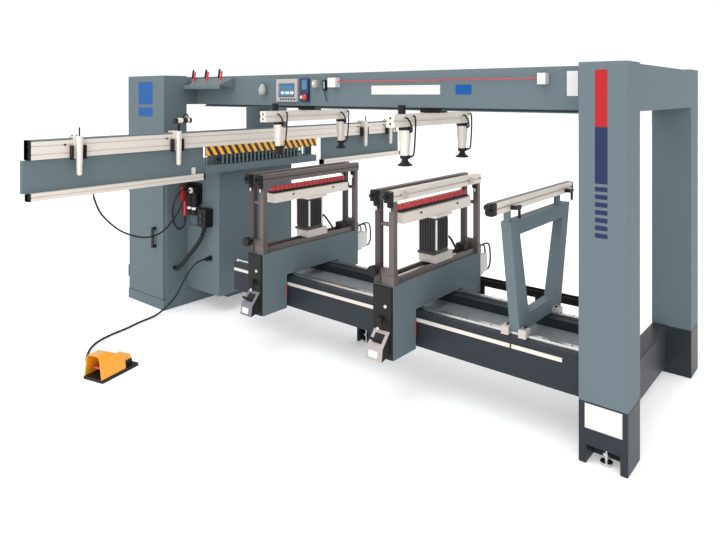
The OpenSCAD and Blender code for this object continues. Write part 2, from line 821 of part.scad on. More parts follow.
// Controls on the front of the overhead beam
panel_bottom = beam_bottom + 23;
panel_top = panel_bottom + 133;
screen_side = [-397, -220];
module control_screen() {
    front = beam_front - 20;
    color(beige) difference() {
        box(screen_side, [front, beam_front], [panel_bottom, panel_top]);
        box(inset(screen_side, 26), [front - 1, front + 4], inset([panel_bottom, panel_top], 30));
    }
}
box_side = [-204, -136];
button_z = panel_bottom + 27;
start_x = box_side[0] + 24;
estop_x = box_side[1] - 16;
button_face = beam_front - 16;
stem_d = 16;
stem_depth = 8;
module button_box() {
    switch_side = [-93, -60];
    loop_side = [-22, -2];
    loop_z = [panel_bottom + 65, panel_bottom + 122];
    loop_depth = 20;
    color("#28376e") difference() {
        box(box_side, [button_face, beam_front], [panel_bottom, panel_top]);
        for (x = [estop_x, start_x])
            bar_y(x, [button_face - 1, button_face + stem_depth + 6], button_z, stem_d + 2 * bore_gap);
    }
    // A small switch box and a loop handle beside the buttons
    color(charcoal) {
        box(switch_side, [beam_front - 30, beam_front], [panel_bottom + 81, panel_bottom + 123]);
        difference() {
            box(loop_side, [beam_front - loop_depth, beam_front], loop_z);
            box(inset(loop_side, 5), [beam_front - loop_depth - 1, beam_front - 5], inset(loop_z, 8));
        }
    }
}
// A push button: stem in its bore and a round cap in front
module push_button(x, cap_d, cap_length) {
    stand_off = 7;
    bar_y(x, [button_face - stand_off, button_face + stem_depth], button_z, stem_d);
    bar_y(x, [button_face - stand_off - cap_length, button_face - stand_off], button_z, cap_d);
}
module estop_button() color(red) push_button(estop_x, 34, 14);
module start_button() color("white") push_button(start_x, 18, 8);
// Emergency wire along the beam: a switch housing at its left end, an anchor at its right end
wire_z = beam_top - 49;
wire_margin = 222;
wire_ends = [91, portal_left - wire_margin];
module pull_wire() {
    body = 40;
    housing = 57;
    anchor = 36;
    depth = [beam_front - body, beam_front];
    color("white") {
        box([wire_ends[0] - housing, wire_ends[0]], depth, [wire_z - 30, wire_z + 22]);
        box([wire_ends[1], wire_ends[1] + anchor], depth, [wire_z - 26, wire_z + 22]);
    }
    color(red) bar_x(wire_ends, beam_front - body / 2, wire_z, 5);
}
// A pear-shaped lamp on a short stem: heights above its lower end, and the radius there
lamp_rings = [[0, 15], [12, 23], [28, 24], [64, 9]];
module signal_lamp() {
    place = [-510, beam_front - 27, wire_z - 70];
    color("white") {
        for (k = [0 : len(lamp_rings) - 2])
            translate(place + [0, 0, lamp_rings[k][0]])
                cylinder(r1 = lamp_rings[k][1], r2 = lamp_rings[k + 1][1],
                    h = lamp_rings[k + 1][0] - lamp_rings[k][0]);
        bar_y(place[0], [place[1], beam_front], place[2] + 20, 16);
    }
}
// Sloping rack in front of the beam with six keys in two rows, all leaning to the right
module tool_rack() {
    rack = [tower_right + 12, tower_right + 400];
    rack_depth = 120;
    rack_drop = 50;
    sheet = 5;
    lip = 24;
    flange = 70;
    keys = 6;
    key_rows = [62, 100];
    lean = 14;
    shank = 7;
    shank_length = 45;
    handle = 13;
    handle_length = 60;
    top = beam_top - 8;
    front = beam_front - rack_depth;
    slope = [[beam_front, top], [front, top - rack_drop], [front, top - rack_drop - lip],
        [front + sheet, top - rack_drop - lip], [front + sheet, top - rack_drop - sheet],
        [beam_front - sheet, top - 2 * sheet], [beam_front - sheet, top - flange],
        [beam_front, top - flange]];
    gusset = [[beam_front, top], [front, top - rack_drop], [beam_front, top - flange]];
    color(paint) {
        plate_yz(rack[0], rack[1] - rack[0]) polygon(slope);
        for (x = [rack[0], rack[1] - sheet])
            plate_yz(x, sheet) polygon(gusset);
    }
    for (k = [0 : keys - 1]) {
        row = key_rows[k % 2];
        x = rack[0] + 20 + k * (rack[1] - rack[0] - 40) / (keys - 1);
        translate([x, beam_front - row, top - rack_drop * row / rack_depth]) rotate([0, lean, 0]) {
            color(steel) translate([0, 0, 20 - shank_length]) cylinder(d = shank, h = shank_length);
            color(k % 2 == 0 ? black : red) translate([0, 0, 20]) cylinder(d = handle, h = handle_length);
        }
    }
}

// Air service unit with its blow gun on the front of the cabinet
unit_face = tower_rear;
unit_x = tower_right + 20;
module air_unit() {
    plate_z = [690, 820];
    bowl_z = [620, 790];
    bridge_z = [760, 800];
    valve_z = [556, 671];
    gun_z = [700, 792];
    gun_tip = 606;
    bowl_d = 46;
    plate = 14;
    color(black) {
        box([unit_x, unit_x + 150], [unit_face - plate, unit_face], plate_z);
        for (k = [0 : 1])
            bar_z(unit_x + 74 + k * 52, unit_face - 40, bowl_z, bowl_d);
        box([unit_x + 40, unit_x + 150], [unit_face - 62, unit_face - plate], bridge_z);
        box([unit_x + 177, unit_x + 262], [unit_face - 60, unit_face], valve_z);
    }
    color(red) {
        box([unit_x + 2, unit_x + 30], [unit_face - 64, unit_face - plate], gun_z);
        bar_z(unit_x + 16, unit_face - 39, [gun_tip, gun_z[0]], 26);
    }
}
// A smooth tube swept along points: each ring stands square to the path
function along(points, t) =
    let (n = len(points) - 1, s = min(floor(t), n - 1), f = t - s,
        a = points[max(s - 1, 0)], b = points[s], c = points[s + 1], d = points[min(s + 2, n)])
    0.5 * (2 * b + (c - a) * f + (2 * a - 5 * b + 4 * c - d) * f * f + (3 * b - a - 3 * c + d) * f * f * f);
function unit(v) = v / norm(v);
function ring(points, t, r, sides) =
    let (step = 0.02, n = len(points) - 1,
        ahead = unit(along(points, min(t + step, n)) - along(points, max(t - step, 0))),
        side = unit(cross(ahead, abs(ahead[2]) > 0.95 ? [0, 1, 0] : [0, 0, 1])),
        up = cross(side, ahead))
    [for (k = [0 : sides - 1])
        along(points, t) + r * (cos(k * 360 / sides) * side + sin(k * 360 / sides) * up)];
module swept_tube(points, r, steps, sides = 8) {
    rings = (len(points) - 1) * steps;
    skin = [for (i = [0 : rings]) each ring(points, i / steps, r, sides)];
    walls = [for (i = [0 : rings - 1], k = [0 : sides - 1], half = [0, 1])
        let (a = i * sides + k, b = i * sides + (k + 1) % sides)
        half == 0 ? [a, b, b + sides] : [a, b + sides, a + sides]];
    caps = [[for (k = [0 : sides - 1]) sides - 1 - k], [for (k = [0 : sides - 1]) rings * sides + k]];
    polyhedron(skin, concat(walls, caps), convexity = 6);
}
// Air hoses held at both ends: from the fence to the unit, the unit's own loop and the waste hose
hose_d = 10;
waste_d = 28;
// Their points are counted from the tower's rear right edge
function from_tower(points) = [for (p = points) p + [tower_right, tower_rear, 0]];
rail_bottom = rail_top - rail_height;
fence_hose = [
    [450, -871, rail_bottom], [450, -871, rail_bottom - 23], [415, -811, 770], [355, -681, 660],
    [295, -541, 590], [245, -421, 560], [195, -301, 570], [160, -191, 640], [147, -121, 740],
    [145, -91, 780], [145, -62, 780]
];
loop_hose = [
    [80, -62, 780], [80, -91, 780], [55, -116, 740], [27, -126, 660], [21, -116, 570],
    [25, -81, 520], [33, -46, 535], [36, -39, 570], [36, -39, 606]
];
waste_hose = [
    [225, -31, 556], [225, -31, 520], [195, -46, 450], [125, -71, 360], [65, -91, 290],
    [30, -96, 265], [0, -96, 265]
];
module air_tubes() {
    color(black) {
        swept_tube(from_tower(loop_hose), hose_d / 2, 4);
        swept_tube(from_tower(fence_hose), hose_d / 2, 4);
        swept_tube(from_tower(waste_hose), waste_d / 2, 4);
    }
}

// Foot pedal: placed by its front right corner, drawn with that corner at the origin
module on_pedal() translate([pedal_corner[0], pedal_corner[1], 0]) rotate([0, 0, pedal_turn]) children();
pedal_base_height = 16;
pedal_wall = 6;
hood_length = 150;
tail_bottom = 44;
tail_top = 66;
// The treadle's pivot across the pedal, and the boss that holds the cable at the pedal's left side
treadle_pivot = [hood_length - 24, 46];
treadle_pin = 8;
boss_length = 14;
boss_y = 100;
module pedal_base() {
    color(black) on_pedal() {
        box([-pedal_width, 0], [0, pedal_length], [0, pedal_base_height]);
        box([-pedal_width + 24, -24], [hood_length + 6, pedal_length - 20], [pedal_base_height, tail_bottom]);
        box([-pedal_width - boss_length, -pedal_width], [boss_y - 11, boss_y + 11], [0, 19]);
        difference() {
            for (lug = [[-pedal_width + 22, -pedal_width + 31], [-31, -22]])
                box(lug, [treadle_pivot[0] - 12, treadle_pivot[0] + 12],
                    [pedal_base_height, treadle_pivot[1] + 12]);
            bar_x([-pedal_width, 0], treadle_pivot[0], treadle_pivot[1], treadle_pin + 2 * bore_gap);
        }
    }
}
// The hood: a bent shell, open to the front, whose roof falls from the middle towards the rear
roof_break = 58;
roof_end = 82;
module hood_form(wall) {
    shoulder = pedal_height - 22;
    below = pedal_base_height - (wall > 0 ? 1 : 0);
    outline = [
        [-pedal_width + 4 + wall, below], [-pedal_width + 18 + wall, shoulder],
        [-pedal_width + 36, pedal_height - wall], [-36, pedal_height - wall], [-18 - wall, shoulder],
        [-4 - wall, below]
    ];
    front = wall > 0 ? -1 : 0;
    side = [
        [front, below], [front, pedal_height - wall], [roof_break, pedal_height - wall],
        [hood_length - wall, roof_end - wall], [hood_length - wall, below]
    ];
    intersection() {
        translate([0, hood_length + 1, 0]) rotate([90, 0, 0])
            linear_extrude(hood_length + 3) polygon(outline);
        plate_yz(-pedal_width, pedal_width) polygon(side);
    }
}
module pedal_hood() {
    color(yellow) on_pedal() {
        difference() {
            hood_form(0);
            hood_form(pedal_wall);
        }
        box([-pedal_width + 26, -26], [hood_length - 2, pedal_length - 26], [tail_bottom, tail_top]);
    }
}
module pedal_treadle() {
    side = [-pedal_width + 34, -34];
    color(red) on_pedal() {
        bar_x(inset(side, 6), treadle_pivot[0], treadle_pivot[1], 2 * treadle_pin);
        bar_x(inset(side, -12), treadle_pivot[0], treadle_pivot[1], treadle_pin);
        translate([0, treadle_pivot[0], treadle_pivot[1]]) rotate([-4, 0, 0])
            box(side, [-96, 2], [-5, 5]);
    }
}
// Cable from the gland on the cabinet down to the floor and round to the pedal's left side
gland_place = [tower_right + 260, tower_rear, 351];
gland_length = 40;
cord_route = [
    [-945, -319, 351], [-950, -345, 349], [-985, -370, 325], [-1050, -380, 255], [-1100, -392, 175],
    [-1135, -415, 98], [-1150, -480, 39], [-1148, -540, 14], [-1146, -590, 7], [-1128, -680, 7],
    [-1100, -770, 7], [-1075, -890, 7], [-1040, -980, 7], [-985, -1050, 7], [-905, -1110, 7],
    [-830, -1150, 7], [-757, -1165, 8], [-708, -1153, 8]
];
module cable_gland() {
    color(black) {
        bar_y(gland_place[0], [gland_place[1] - gland_length, gland_place[1]], gland_place[2], 26);
        bar_y(gland_place[0], [gland_place[1] - 14, gland_place[1]], gland_place[2], 34);
    }
}
module pedal_cord() color(black) swept_tube(cord_route, cord_d / 2, 3);

left_tower();
cabinet_door();
left_portal();
overhead_beam();
right_portal();
right_base();
head_cabinet();
bed_frame();
bed_rails();
chip_tray();
levelling_feet();
cable_duct();
fence_profile();
fence_skirts();
panel_stop(0);  // stop_1
panel_stop(1);  // stop_2
panel_stop(2);  // stop_3
panel_stop(3);  // stop_4
hazard_guard();
side_gearbox();
side_chucks();
side_motor();
saddle(0);  // saddle_1
posts(0);  // posts_1
bars(0);  // bars_1
lift_base(0);  // lift_base_1
controls(0);  // controls_1
clamp_knob(0);  // clamp_knob_1
gearbox(0);  // gearbox_1
chucks(0);  // chucks_1
motor(0);  // motor_1
saddle(1);  // saddle_2
posts(1);  // posts_2
bars(1);  // bars_2
lift_base(1);  // lift_base_2
controls(1);  // controls_2
clamp_knob(1);  // clamp_knob_2
gearbox(1);  // gearbox_2
chucks(1);  // chucks_2
motor(1);  // motor_2
support_frame();
support_bar();
presser_arm(0);  // presser_arm_1
presser_rods(0);  // presser_rods_1
presser_arm(1);  // presser_arm_2
presser_rods(1);  // presser_rods_2
control_screen();
button_box();
estop_button();
start_button();
pull_wire();
signal_lamp();
tool_rack();
air_unit();
air_tubes();
cable_gland();
pedal_base();
pedal_hood();
pedal_treadle();
pedal_cord();
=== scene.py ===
"""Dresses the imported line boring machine: finishes, rounded edges, fittings, stage, light and camera."""
import json
import math

import bmesh
import bpy
from mathutils import Matrix, Vector


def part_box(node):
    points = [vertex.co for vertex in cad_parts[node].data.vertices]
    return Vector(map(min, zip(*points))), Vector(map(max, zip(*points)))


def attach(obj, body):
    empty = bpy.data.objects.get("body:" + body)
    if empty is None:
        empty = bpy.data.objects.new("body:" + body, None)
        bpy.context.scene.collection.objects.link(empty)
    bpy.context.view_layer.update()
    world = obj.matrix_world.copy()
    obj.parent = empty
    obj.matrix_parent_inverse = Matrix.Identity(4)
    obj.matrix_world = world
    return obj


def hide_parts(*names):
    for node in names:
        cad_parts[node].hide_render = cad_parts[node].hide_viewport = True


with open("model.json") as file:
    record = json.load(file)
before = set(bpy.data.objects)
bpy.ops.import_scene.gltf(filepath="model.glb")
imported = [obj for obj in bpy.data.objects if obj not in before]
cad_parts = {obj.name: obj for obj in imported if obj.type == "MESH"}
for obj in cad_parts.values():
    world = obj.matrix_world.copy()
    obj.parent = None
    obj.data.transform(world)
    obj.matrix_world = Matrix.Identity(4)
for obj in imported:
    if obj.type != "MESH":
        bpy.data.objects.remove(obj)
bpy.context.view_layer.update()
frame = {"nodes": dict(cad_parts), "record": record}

bl_info = {
    "name": "Line boring machine",
    "version": (1, 0, 0),
    "blender": (4, 5, 0),
    "location": "View3D > Sidebar > Machine",
    "description": "Builds the finishes, fittings and stage of a line boring machine",
    "category": "Object",
}

RECORD = frame["record"]
BODY_OF = {node: body for body, nodes in RECORD["behaviour"]["bodies"].items() for node in nodes}
SLOT_OF = {entry["node"]: entry["material_slot"] for entry in RECORD["subparts"]}
HEADS = (1, 2)
STOPS = (1, 2, 3, 4)
X_AXIS = Vector((1, 0, 0))
Y_AXIS = Vector((0, 1, 0))
Z_AXIS = Vector((0, 0, 1))

# What the solids' boxes don't show: sizes in metres, counts of spindles and the rack's slope
GRIP_DEPTH = 0.026
CABINET_LIFT = 0.119
TABLE_BOTTOM = 0.938
GUIDE_INSET = 0.034
DUCT_SIZE = (0.050, 0.036)
RAIL_HEIGHT = 0.037
RAIL_DEPTH = 0.040
LEFT_SECTION_END = -0.474
RIGHT_SECTION_START = 0.549
GUARD_HEIGHT = 0.054
SIDE_SPINDLES = 22
SPINDLES = 19
COLLAR_RADIUS = 0.0155
ROW_MARGIN = 0.016
POST_SIDE = 0.028
LEG_GAP = 0.015
LIFT_RAIL = 0.028
BAR_WIDTH = 0.032
GEARBOX_HEIGHT = 0.061
GEARBOX_WIDTH = 0.076
MOTOR_SIDE = 0.1015
MOTOR_FIN = 0.005
SUPPORT_BAR_WIDTH = 0.026
NAVY_DEPTH = 0.016
RACK_FALL = 50 / 120
PLATE_THICK = 0.014
VALVE_DEPTH = 0.063
CYLINDER_LENGTH = 0.150
ARM_HEIGHT = 0.060
PRESSER_PLACES = (-0.361, 0.164)
ROD_RADIUS = 0.008
BUTTON_BOX_RIGHT = -0.136
SWITCH_BOX_FOOT = 0.556

# Thickness of films, play in the tests on faces, and rounded edges of added solids, in metres
FILM = 0.0006
HAIR = 0.0005
BOX_EDGE = 0.0012
ROD_EDGE = 0.0006

# Slant and count of the guard's stripes, and sides of round solids
STRIPE_SLANT = 0.65
STRIPES_PER_METRE = 19.0
ROD_SIDES = 32
LATHE_SIDES = 40

# Light of the stage: place and power in watts of each lamp, and the glow of the sky and the floor
LAMPS = {"key": ((0.3, -4.0, 6.5), 170), "fill": ((5.0, -8.5, 3.0), 200)}
LAMP_SIZE = 5.0
LAMP_AIM = Vector((0, 0, 0.7))
SKY_STRENGTH = 1.05
FLOOR_GLOW = 0.3
FLOOR_REACH = 30.0


# Settings

def colour(label, words, default):
    """A colour setting."""
    return bpy.props.FloatVectorProperty(
        name=label, description=words, subtype="COLOR", size=3, min=0, max=1, default=default)


def length(label, words, default):
    """A length setting in metres."""
    return bpy.props.FloatProperty(name=label, description=words, unit="LENGTH", min=0, default=default)


class MachineColours(bpy.types.PropertyGroup):
    """Colours of the machine's finishes"""
    paint: colour("Sheet paint", "Blue-grey paint of the sheet metal", (0.124, 0.162, 0.177))
    base: colour("Base paint", "Charcoal paint of the bed and the feet", (0.021, 0.027, 0.034))
    alloy: colour("Alloy", "Light anodised profiles", (0.70, 0.645, 0.585))
    bronze: colour("Bronze alloy", "Brown-grey anodised posts", (0.118, 0.096, 0.091))
    # The next colour is a darker copy of the bronze, painted shade on the left posts and collars
    painted_shade_umber: colour("Dark bronze", "Dark brown anodised posts and blocks", (0.05, 0.038, 0.036))
    pale: colour("Pale alloy", "Bare bearing blocks", (0.50, 0.46, 0.42))
    lilac: colour("Lilac grey", "Face of the first head's counter", (0.17, 0.16, 0.20))
    rose: colour("Rose grey", "Face of the second head's counter", (0.40, 0.345, 0.33))
    steel: colour("Steel", "Bright rods, rails and bolts", (0.58, 0.58, 0.58))
    black: colour("Black plastic", "Knobs, hoses and caps", (0.012, 0.012, 0.013))
    motor: colour("Motor", "Cast motor bodies", (0.018, 0.018, 0.02))
    red: colour("Red", "Band on the column", (0.38, 0.014, 0.015))
    scarlet: colour("Scarlet", "Drill chucks, buttons and the pull wire", (0.56, 0.016, 0.020))
    yellow: colour("Yellow", "Yellow of the striped guard", (0.86, 0.41, 0.02))
    beige: colour("Beige", "Housings of the screen and the lamp", (0.38, 0.36, 0.345))
    navy: colour("Navy", "Button box and column band", (0.014, 0.024, 0.080))
    blue: colour("Blue", "Bands on the tower and the beam", (0.003, 0.078, 0.28))
    white: colour("White", "Switch housings and bare plates", (0.64, 0.64, 0.62))
    orange: colour("Orange", "Hood of the foot pedal", (0.86, 0.35, 0.015))
    screen: colour("Screen", "Face of the control screen", (0.050, 0.155, 0.275))
    tray: colour("Tray", "Chip tray between the bed's beams", (0.150, 0.186, 0.215))
    display: colour("Display", "Panes of the position counters", (0.62, 0.66, 0.64))
    floor: colour("Floor", "Studio floor", (0.93, 0.93, 0.93))


class MachineSizes(bpy.types.PropertyGroup):
    """Sizes of the dressed details"""
    sheet_edge: length("Sheet edge", "Rounding of bent sheet edges", 0.004)
    fine_edge: length("Fine edge", "Rounding of machined edges", 0.0012)
    cable: length("Pedal cable", "Diameter of the pedal's cable", 0.012)
    screw: length("Screw head", "Radius of the cap screws", 0.006)
    end_cap: length("End cap", "Length of the profiles' end caps", 0.014)


class MachineStage(bpy.types.PropertyGroup):
    """Camera of the stage"""
    eye: bpy.props.FloatVectorProperty(
        name="Eye", description="Place of the camera", subtype="XYZ", size=3, default=(2.317, -2.720, 1.400))
    heading: bpy.props.FloatProperty(
        name="Heading", description="Turn of the level camera from the machine's front", subtype="ANGLE",
        default=math.radians(39.6))
    lens: bpy.props.FloatProperty(name="Lens", description="Focal length in millimetres", default=30.84)
    rise: bpy.props.FloatProperty(
        name="Vertical shift", description="Shift of the picture for a level camera", default=-0.2435)


def colours():
    """The colour settings."""
    return bpy.context.scene.machine_colours


def sizes():
    """The size settings."""
    return bpy.context.scene.machine_sizes


# Node helpers

def new_group(name, kind, inputs, outputs):
    """A node group with named sockets, its inputs and its output node."""
    tree = bpy.data.node_groups.new(name, kind)
    for side, entries in (("INPUT", inputs), ("OUTPUT", outputs)):
        for label, socket, *default in entries:
            made = tree.interface.new_socket(label, in_out=side, socket_type="NodeSocket" + socket)
            if default:
                made.default_value = default[0]
    return tree, tree.nodes.new("NodeGroupInput").outputs, tree.nodes.new("NodeGroupOutput")


def new_node(tree, kind, feeds=None, **settings):
    """A node with its settings. Each feed is a socket or a value for one of its inputs."""
    made = tree.nodes.new(kind)
    for name, value in settings.items():
        setattr(made, name, value)
    for place, value in (feeds or {}).items():
        if isinstance(value, bpy.types.NodeSocket):
            tree.links.new(value, made.inputs[place])
        else:
            made.inputs[place].default_value = value
    return made


def maths(tree, operation, *values):
    """The result of a maths node on sockets or numbers."""
    return new_node(tree, "ShaderNodeMath", dict(enumerate(values)), operation=operation).outputs[0]


def mixed_colour(tree, share, first, second):
    """A mix of two colours."""
    blend = new_node(tree, "ShaderNodeMix", {"Factor": share, 6: first, 7: second}, data_type="RGBA")
    return blend.outputs[2]


def object_place(tree):
    """The place on the object that is being shaded."""
    return new_node(tree, "ShaderNodeTexCoord").outputs["Object"]


def noise(tree, place, scale, detail):
    """Soft noise over places."""
    made = new_node(tree, "ShaderNodeTexNoise", {"Vector": place, "Scale": scale, "Detail": detail})
    return made.outputs["Fac"]


# Shader groups

def worked_surface():
    """Group: colour and roughness that drift over a surface, and a fine grain for bump."""
    name = "Worked surface"
    if name in bpy.data.node_groups:
        return bpy.data.node_groups[name]
    tree, given, result = new_group(
        name, "ShaderNodeTree",
        [("Colour", "Color", (0.5, 0.5, 0.5, 1)), ("Tone spread", "Float", 0.1),
         ("Patch scale", "Float", 3.0), ("Roughness", "Float", 0.5), ("Roughness spread", "Float", 0.1),
         ("Grain scale", "Float", 400.0), ("Stretch", "Vector", (1, 1, 1))],
        [("Colour", "Color"), ("Roughness", "Float"), ("Height", "Float")])
    place = object_place(tree)
    patches = noise(tree, place, given["Patch scale"], 4)
    stretched = new_node(tree, "ShaderNodeVectorMath", {0: place, 1: given["Stretch"]}, operation="MULTIPLY")
    grain = noise(tree, stretched.outputs["Vector"], given["Grain scale"], 3)
    drift = maths(tree, "MULTIPLY_ADD", maths(tree, "SUBTRACT", patches, 0.5), given["Tone spread"], 1.0)
    tinted = new_node(tree, "ShaderNodeVectorMath", {0: given["Colour"], "Scale": drift}, operation="SCALE")
    uneven = maths(tree, "SUBTRACT", maths(tree, "ADD", patches, grain), 1.0)
    matt = maths(tree, "MULTIPLY_ADD", uneven, given["Roughness spread"], given["Roughness"])
    for label, value in (("Colour", tinted.outputs["Vector"]), ("Roughness", matt), ("Height", grain)):
        tree.links.new(value, result.inputs[label])
    return tree


def workshop_dust():
    """Group: a thin veil of wood dust on faces that look up."""
    name = "Workshop dust"
    if name in bpy.data.node_groups:
        return bpy.data.node_groups[name]
    tree, given, result = new_group(
        name, "ShaderNodeTree",
        [("Colour", "Color", (0.5, 0.5, 0.5, 1)), ("Dust", "Color", (0.42, 0.38, 0.32, 1)),
         ("Amount", "Float", 0.2)],
        [("Colour", "Color")])
    facing = new_node(tree, "ShaderNodeNewGeometry").outputs["Normal"]
    rise = new_node(tree, "ShaderNodeSeparateXYZ", {0: facing}).outputs["Z"]
    upward = new_node(tree, "ShaderNodeMapRange", {"Value": rise, "From Min": 0.6, "From Max": 1.0})
    specks = noise(tree, object_place(tree), 26, 6)
    cover = maths(tree, "MULTIPLY", upward.outputs["Result"], specks)
    share = maths(tree, "MULTIPLY", cover, given["Amount"])
    tree.links.new(mixed_colour(tree, share, given["Colour"], given["Dust"]), result.inputs["Colour"])
    return tree


# Finishes

# Stretch of the grain along a drawn profile
ALONG_X = (0.02, 1, 1)
ALONG_Y = (1, 0.02, 1)
ALONG_Z = (1, 1, 0.03)


def coating(name, base, roughness, metallic=0.0, tone=0.08, patch=3.0, spread=0.08, grain=420.0,
            stretch=(1, 1, 1), bump=0.06, dust=0.0, coat=0.0, shine=0.5, pattern=None):
    """A procedural finish built from the shared groups. Its title differs from the CAD slots' names.
    A pattern is a function that draws on the colour."""
    title = "dressed_" + name
    if title in bpy.data.materials:
        return bpy.data.materials[title]
    made = bpy.data.materials.new(title)
    made.use_nodes = True
    tree = made.node_tree
    surface = new_node(tree, "ShaderNodeGroup", {
        "Colour": (*base, 1), "Tone spread": tone, "Patch scale": patch, "Roughness": roughness,
        "Roughness spread": spread, "Grain scale": grain, "Stretch": stretch}, node_tree=worked_surface())
    shown = surface.outputs["Colour"]
    if dust:
        veil = new_node(tree, "ShaderNodeGroup", {"Colour": shown, "Amount": dust},
                        node_tree=workshop_dust())
        shown = veil.outputs["Colour"]
    if pattern:
        shown = pattern(tree, shown)
    relief = new_node(tree, "ShaderNodeBump", {
        "Height": surface.outputs["Height"], "Strength": bump, "Distance": 0.001})
    shader = tree.nodes["Principled BSDF"]
    for label, value in (("Base Color", shown), ("Roughness", surface.outputs["Roughness"]),
                         ("Normal", relief.outputs["Normal"])):
        tree.links.new(value, shader.inputs[label])
    for label, value in (("Metallic", metallic), ("Coat Weight", coat), ("Specular IOR Level", shine)):
        shader.inputs[label].default_value = value
    return made


def anodised(name, base, along=(1, 1, 1)):
    """Alloy with fine draw lines along one direction."""
    return coating(name, base, 0.42, metallic=0.25, tone=0.10, patch=5, spread=0.12, grain=300, stretch=along,
                   bump=0.05)


def moulded(name, base, roughness=0.40, tone=0.08, bump=0.10):
    """Fine-grained housing plastic."""
    return coating(name, base, roughness, tone=tone, patch=9, grain=900, bump=bump)


def film(name, base):
    """Thin coloured film on paint."""
    return coating(name, base, 0.36, tone=0.05, patch=5, grain=600, bump=0.03, shine=0.2)


def stripes(tree, fed):
    """Slanted black stripes over a colour."""
    parts = new_node(tree, "ShaderNodeSeparateXYZ", {0: object_place(tree)}).outputs
    slanted = maths(tree, "MULTIPLY_ADD", parts["Z"], STRIPE_SLANT, parts["Y"])
    phase = maths(tree, "FRACT", maths(tree, "MULTIPLY", slanted, STRIPES_PER_METRE))
    return mixed_colour(tree, maths(tree, "GREATER_THAN", phase, 0.5), fed, (*colours().black, 1))


def sheet_paint():
    """Textured blue-grey paint."""
    return coating("sheet_paint", colours().paint, 0.42, tone=0.10, patch=1.6, grain=700, bump=0.10,
                   dust=0.12, shine=0.02)


def base_paint():
    """Charcoal paint of the bed and feet."""
    return coating("base_paint", colours().base, 0.40, tone=0.25, patch=4, grain=600, bump=0.10, dust=0.08,
                   shine=0.2)


def tray_paint():
    """Worn blue-grey paint of the chip tray."""
    return coating("tray_paint", colours().tray, 0.50, tone=0.35, patch=3.5, grain=500, bump=0.08, dust=0.35)


def red_paint():
    """Gloss red."""
    return coating("red_paint", colours().scarlet, 0.28, tone=0.12, patch=18, grain=600, coat=0.3)


def striped_paint():
    """Yellow and black slanted stripes of the finger guard."""
    return coating("striped_paint", colours().yellow, 0.38, tone=0.12, patch=10, grain=600, pattern=stripes)


def light_alloy():
    """Light alloy without a draw direction."""
    return anodised("light_alloy", colours().alloy)


def light_alloy_x():
    """Light alloy drawn along the bed."""
    return anodised("light_alloy_x", colours().alloy, ALONG_X)


def light_alloy_y():
    """Light alloy drawn along the fence direction."""
    return anodised("light_alloy_y", colours().alloy, ALONG_Y)


def bronze_alloy():
    """Brown-grey alloy drawn upwards."""
    return anodised("bronze_alloy", colours().bronze, ALONG_Z)


def bronze_alloy_y():
    """Brown-grey alloy drawn along the fence direction."""
    return anodised("bronze_alloy_y", colours().bronze, ALONG_Y)


def painted_shade_bronze():
    """Bronze alloy made darker, drawn upwards: painted shade for the left posts and their collars."""
    return anodised("painted_shade_bronze", colours().painted_shade_umber, ALONG_Z)


def pale_alloy():
    """Bare cast alloy of bearing blocks."""
    return anodised("pale_alloy", colours().pale)


def bright_steel():
    """Ground steel."""
    return coating("bright_steel", colours().steel, 0.24, metallic=1.0, tone=0.12, grain=500,
                   stretch=(0.05, 1, 1))


def motor_iron():
    """Cast motor housing in black."""
    return coating("motor_iron", colours().motor, 0.46, tone=0.4, patch=12, grain=350, bump=0.25, dust=0.3)


def black_plastic():
    """Moulded black plastic."""
    return coating("black_plastic", colours().black, 0.42, tone=0.3, grain=900, bump=0.12, shine=0.18)


def black_rubber():
    """Black rubber of hoses and cables."""
    return coating("black_rubber", colours().black, 0.55, tone=0.3, patch=20, grain=1200, bump=0.10,
                   shine=0.3)


def beige_plastic():
    """Beige housing plastic."""
    return moulded("beige_plastic", colours().beige, roughness=0.45, bump=0.12)


def lilac_plastic():
    """Dark lilac-grey face of the first head's counter."""
    return moulded("lilac_plastic", colours().lilac)


def rose_plastic():
    """Pale rose-grey face of the second head's counter."""
    return moulded("rose_plastic", colours().rose)


def navy_plastic():
    """Navy housing plastic."""
    return moulded("navy_plastic", colours().navy, tone=0.15)


def white_plastic():
    """White housing plastic."""
    return moulded("white_plastic", colours().white, roughness=0.42, tone=0.05)


def orange_plastic():
    """Gloss orange pedal plastic."""
    return coating("orange_plastic", colours().orange, 0.30, tone=0.14, patch=14, grain=500, bump=0.08,
                   coat=0.2)


def screen_glass():
    """Blue screen behind a smooth pane."""
    return coating("screen_glass", colours().screen, 0.10, tone=0.25, patch=9, spread=0.02, grain=300,
                   bump=0.0)


def grey_display():
    """Pale pane of a counter's display."""
    return coating("grey_display", colours().display, 0.14, tone=0.06, patch=14, spread=0.03, bump=0.0)


def band_red():
    """Red film on the column."""
    return film("band_red", colours().red)


def band_navy():
    """Navy film on the column."""
    return film("band_navy", colours().navy)


def band_blue():
    """Blue film on the tower and the beam."""
    return film("band_blue", colours().blue)


def floor_finish():
    """Pale studio floor."""
    return coating("floor_finish", colours().floor, 0.8, tone=0.02, patch=0.4, bump=0.0)


# Mesh helpers

def linked(name, data):
    """A new object in the scene."""
    made = bpy.data.objects.new(name, data)
    bpy.context.scene.collection.objects.link(made)
    return made


def faces_of(verts):
    """Faces that use the given corners."""
    return {face for vert in verts for face in vert.link_faces}


def smooth_route(points, steps=8):
    """Points on the smooth curve through a route, as the cable's solid follows it."""
    points = [Vector(p) for p in points]
    last = len(points) - 1
    made = []
    for k in range(last):
        a, b, c, d = points[max(k - 1, 0)], points[k], points[k + 1], points[min(k + 2, last)]
        for step in range(steps):
            f = step / steps
            made.append(0.5 * (2 * b + (c - a) * f + (2 * a - 5 * b + 4 * c - d) * f ** 2
                               + (3 * b - a - 3 * c + d) * f ** 3))
    return made + [points[-1]]


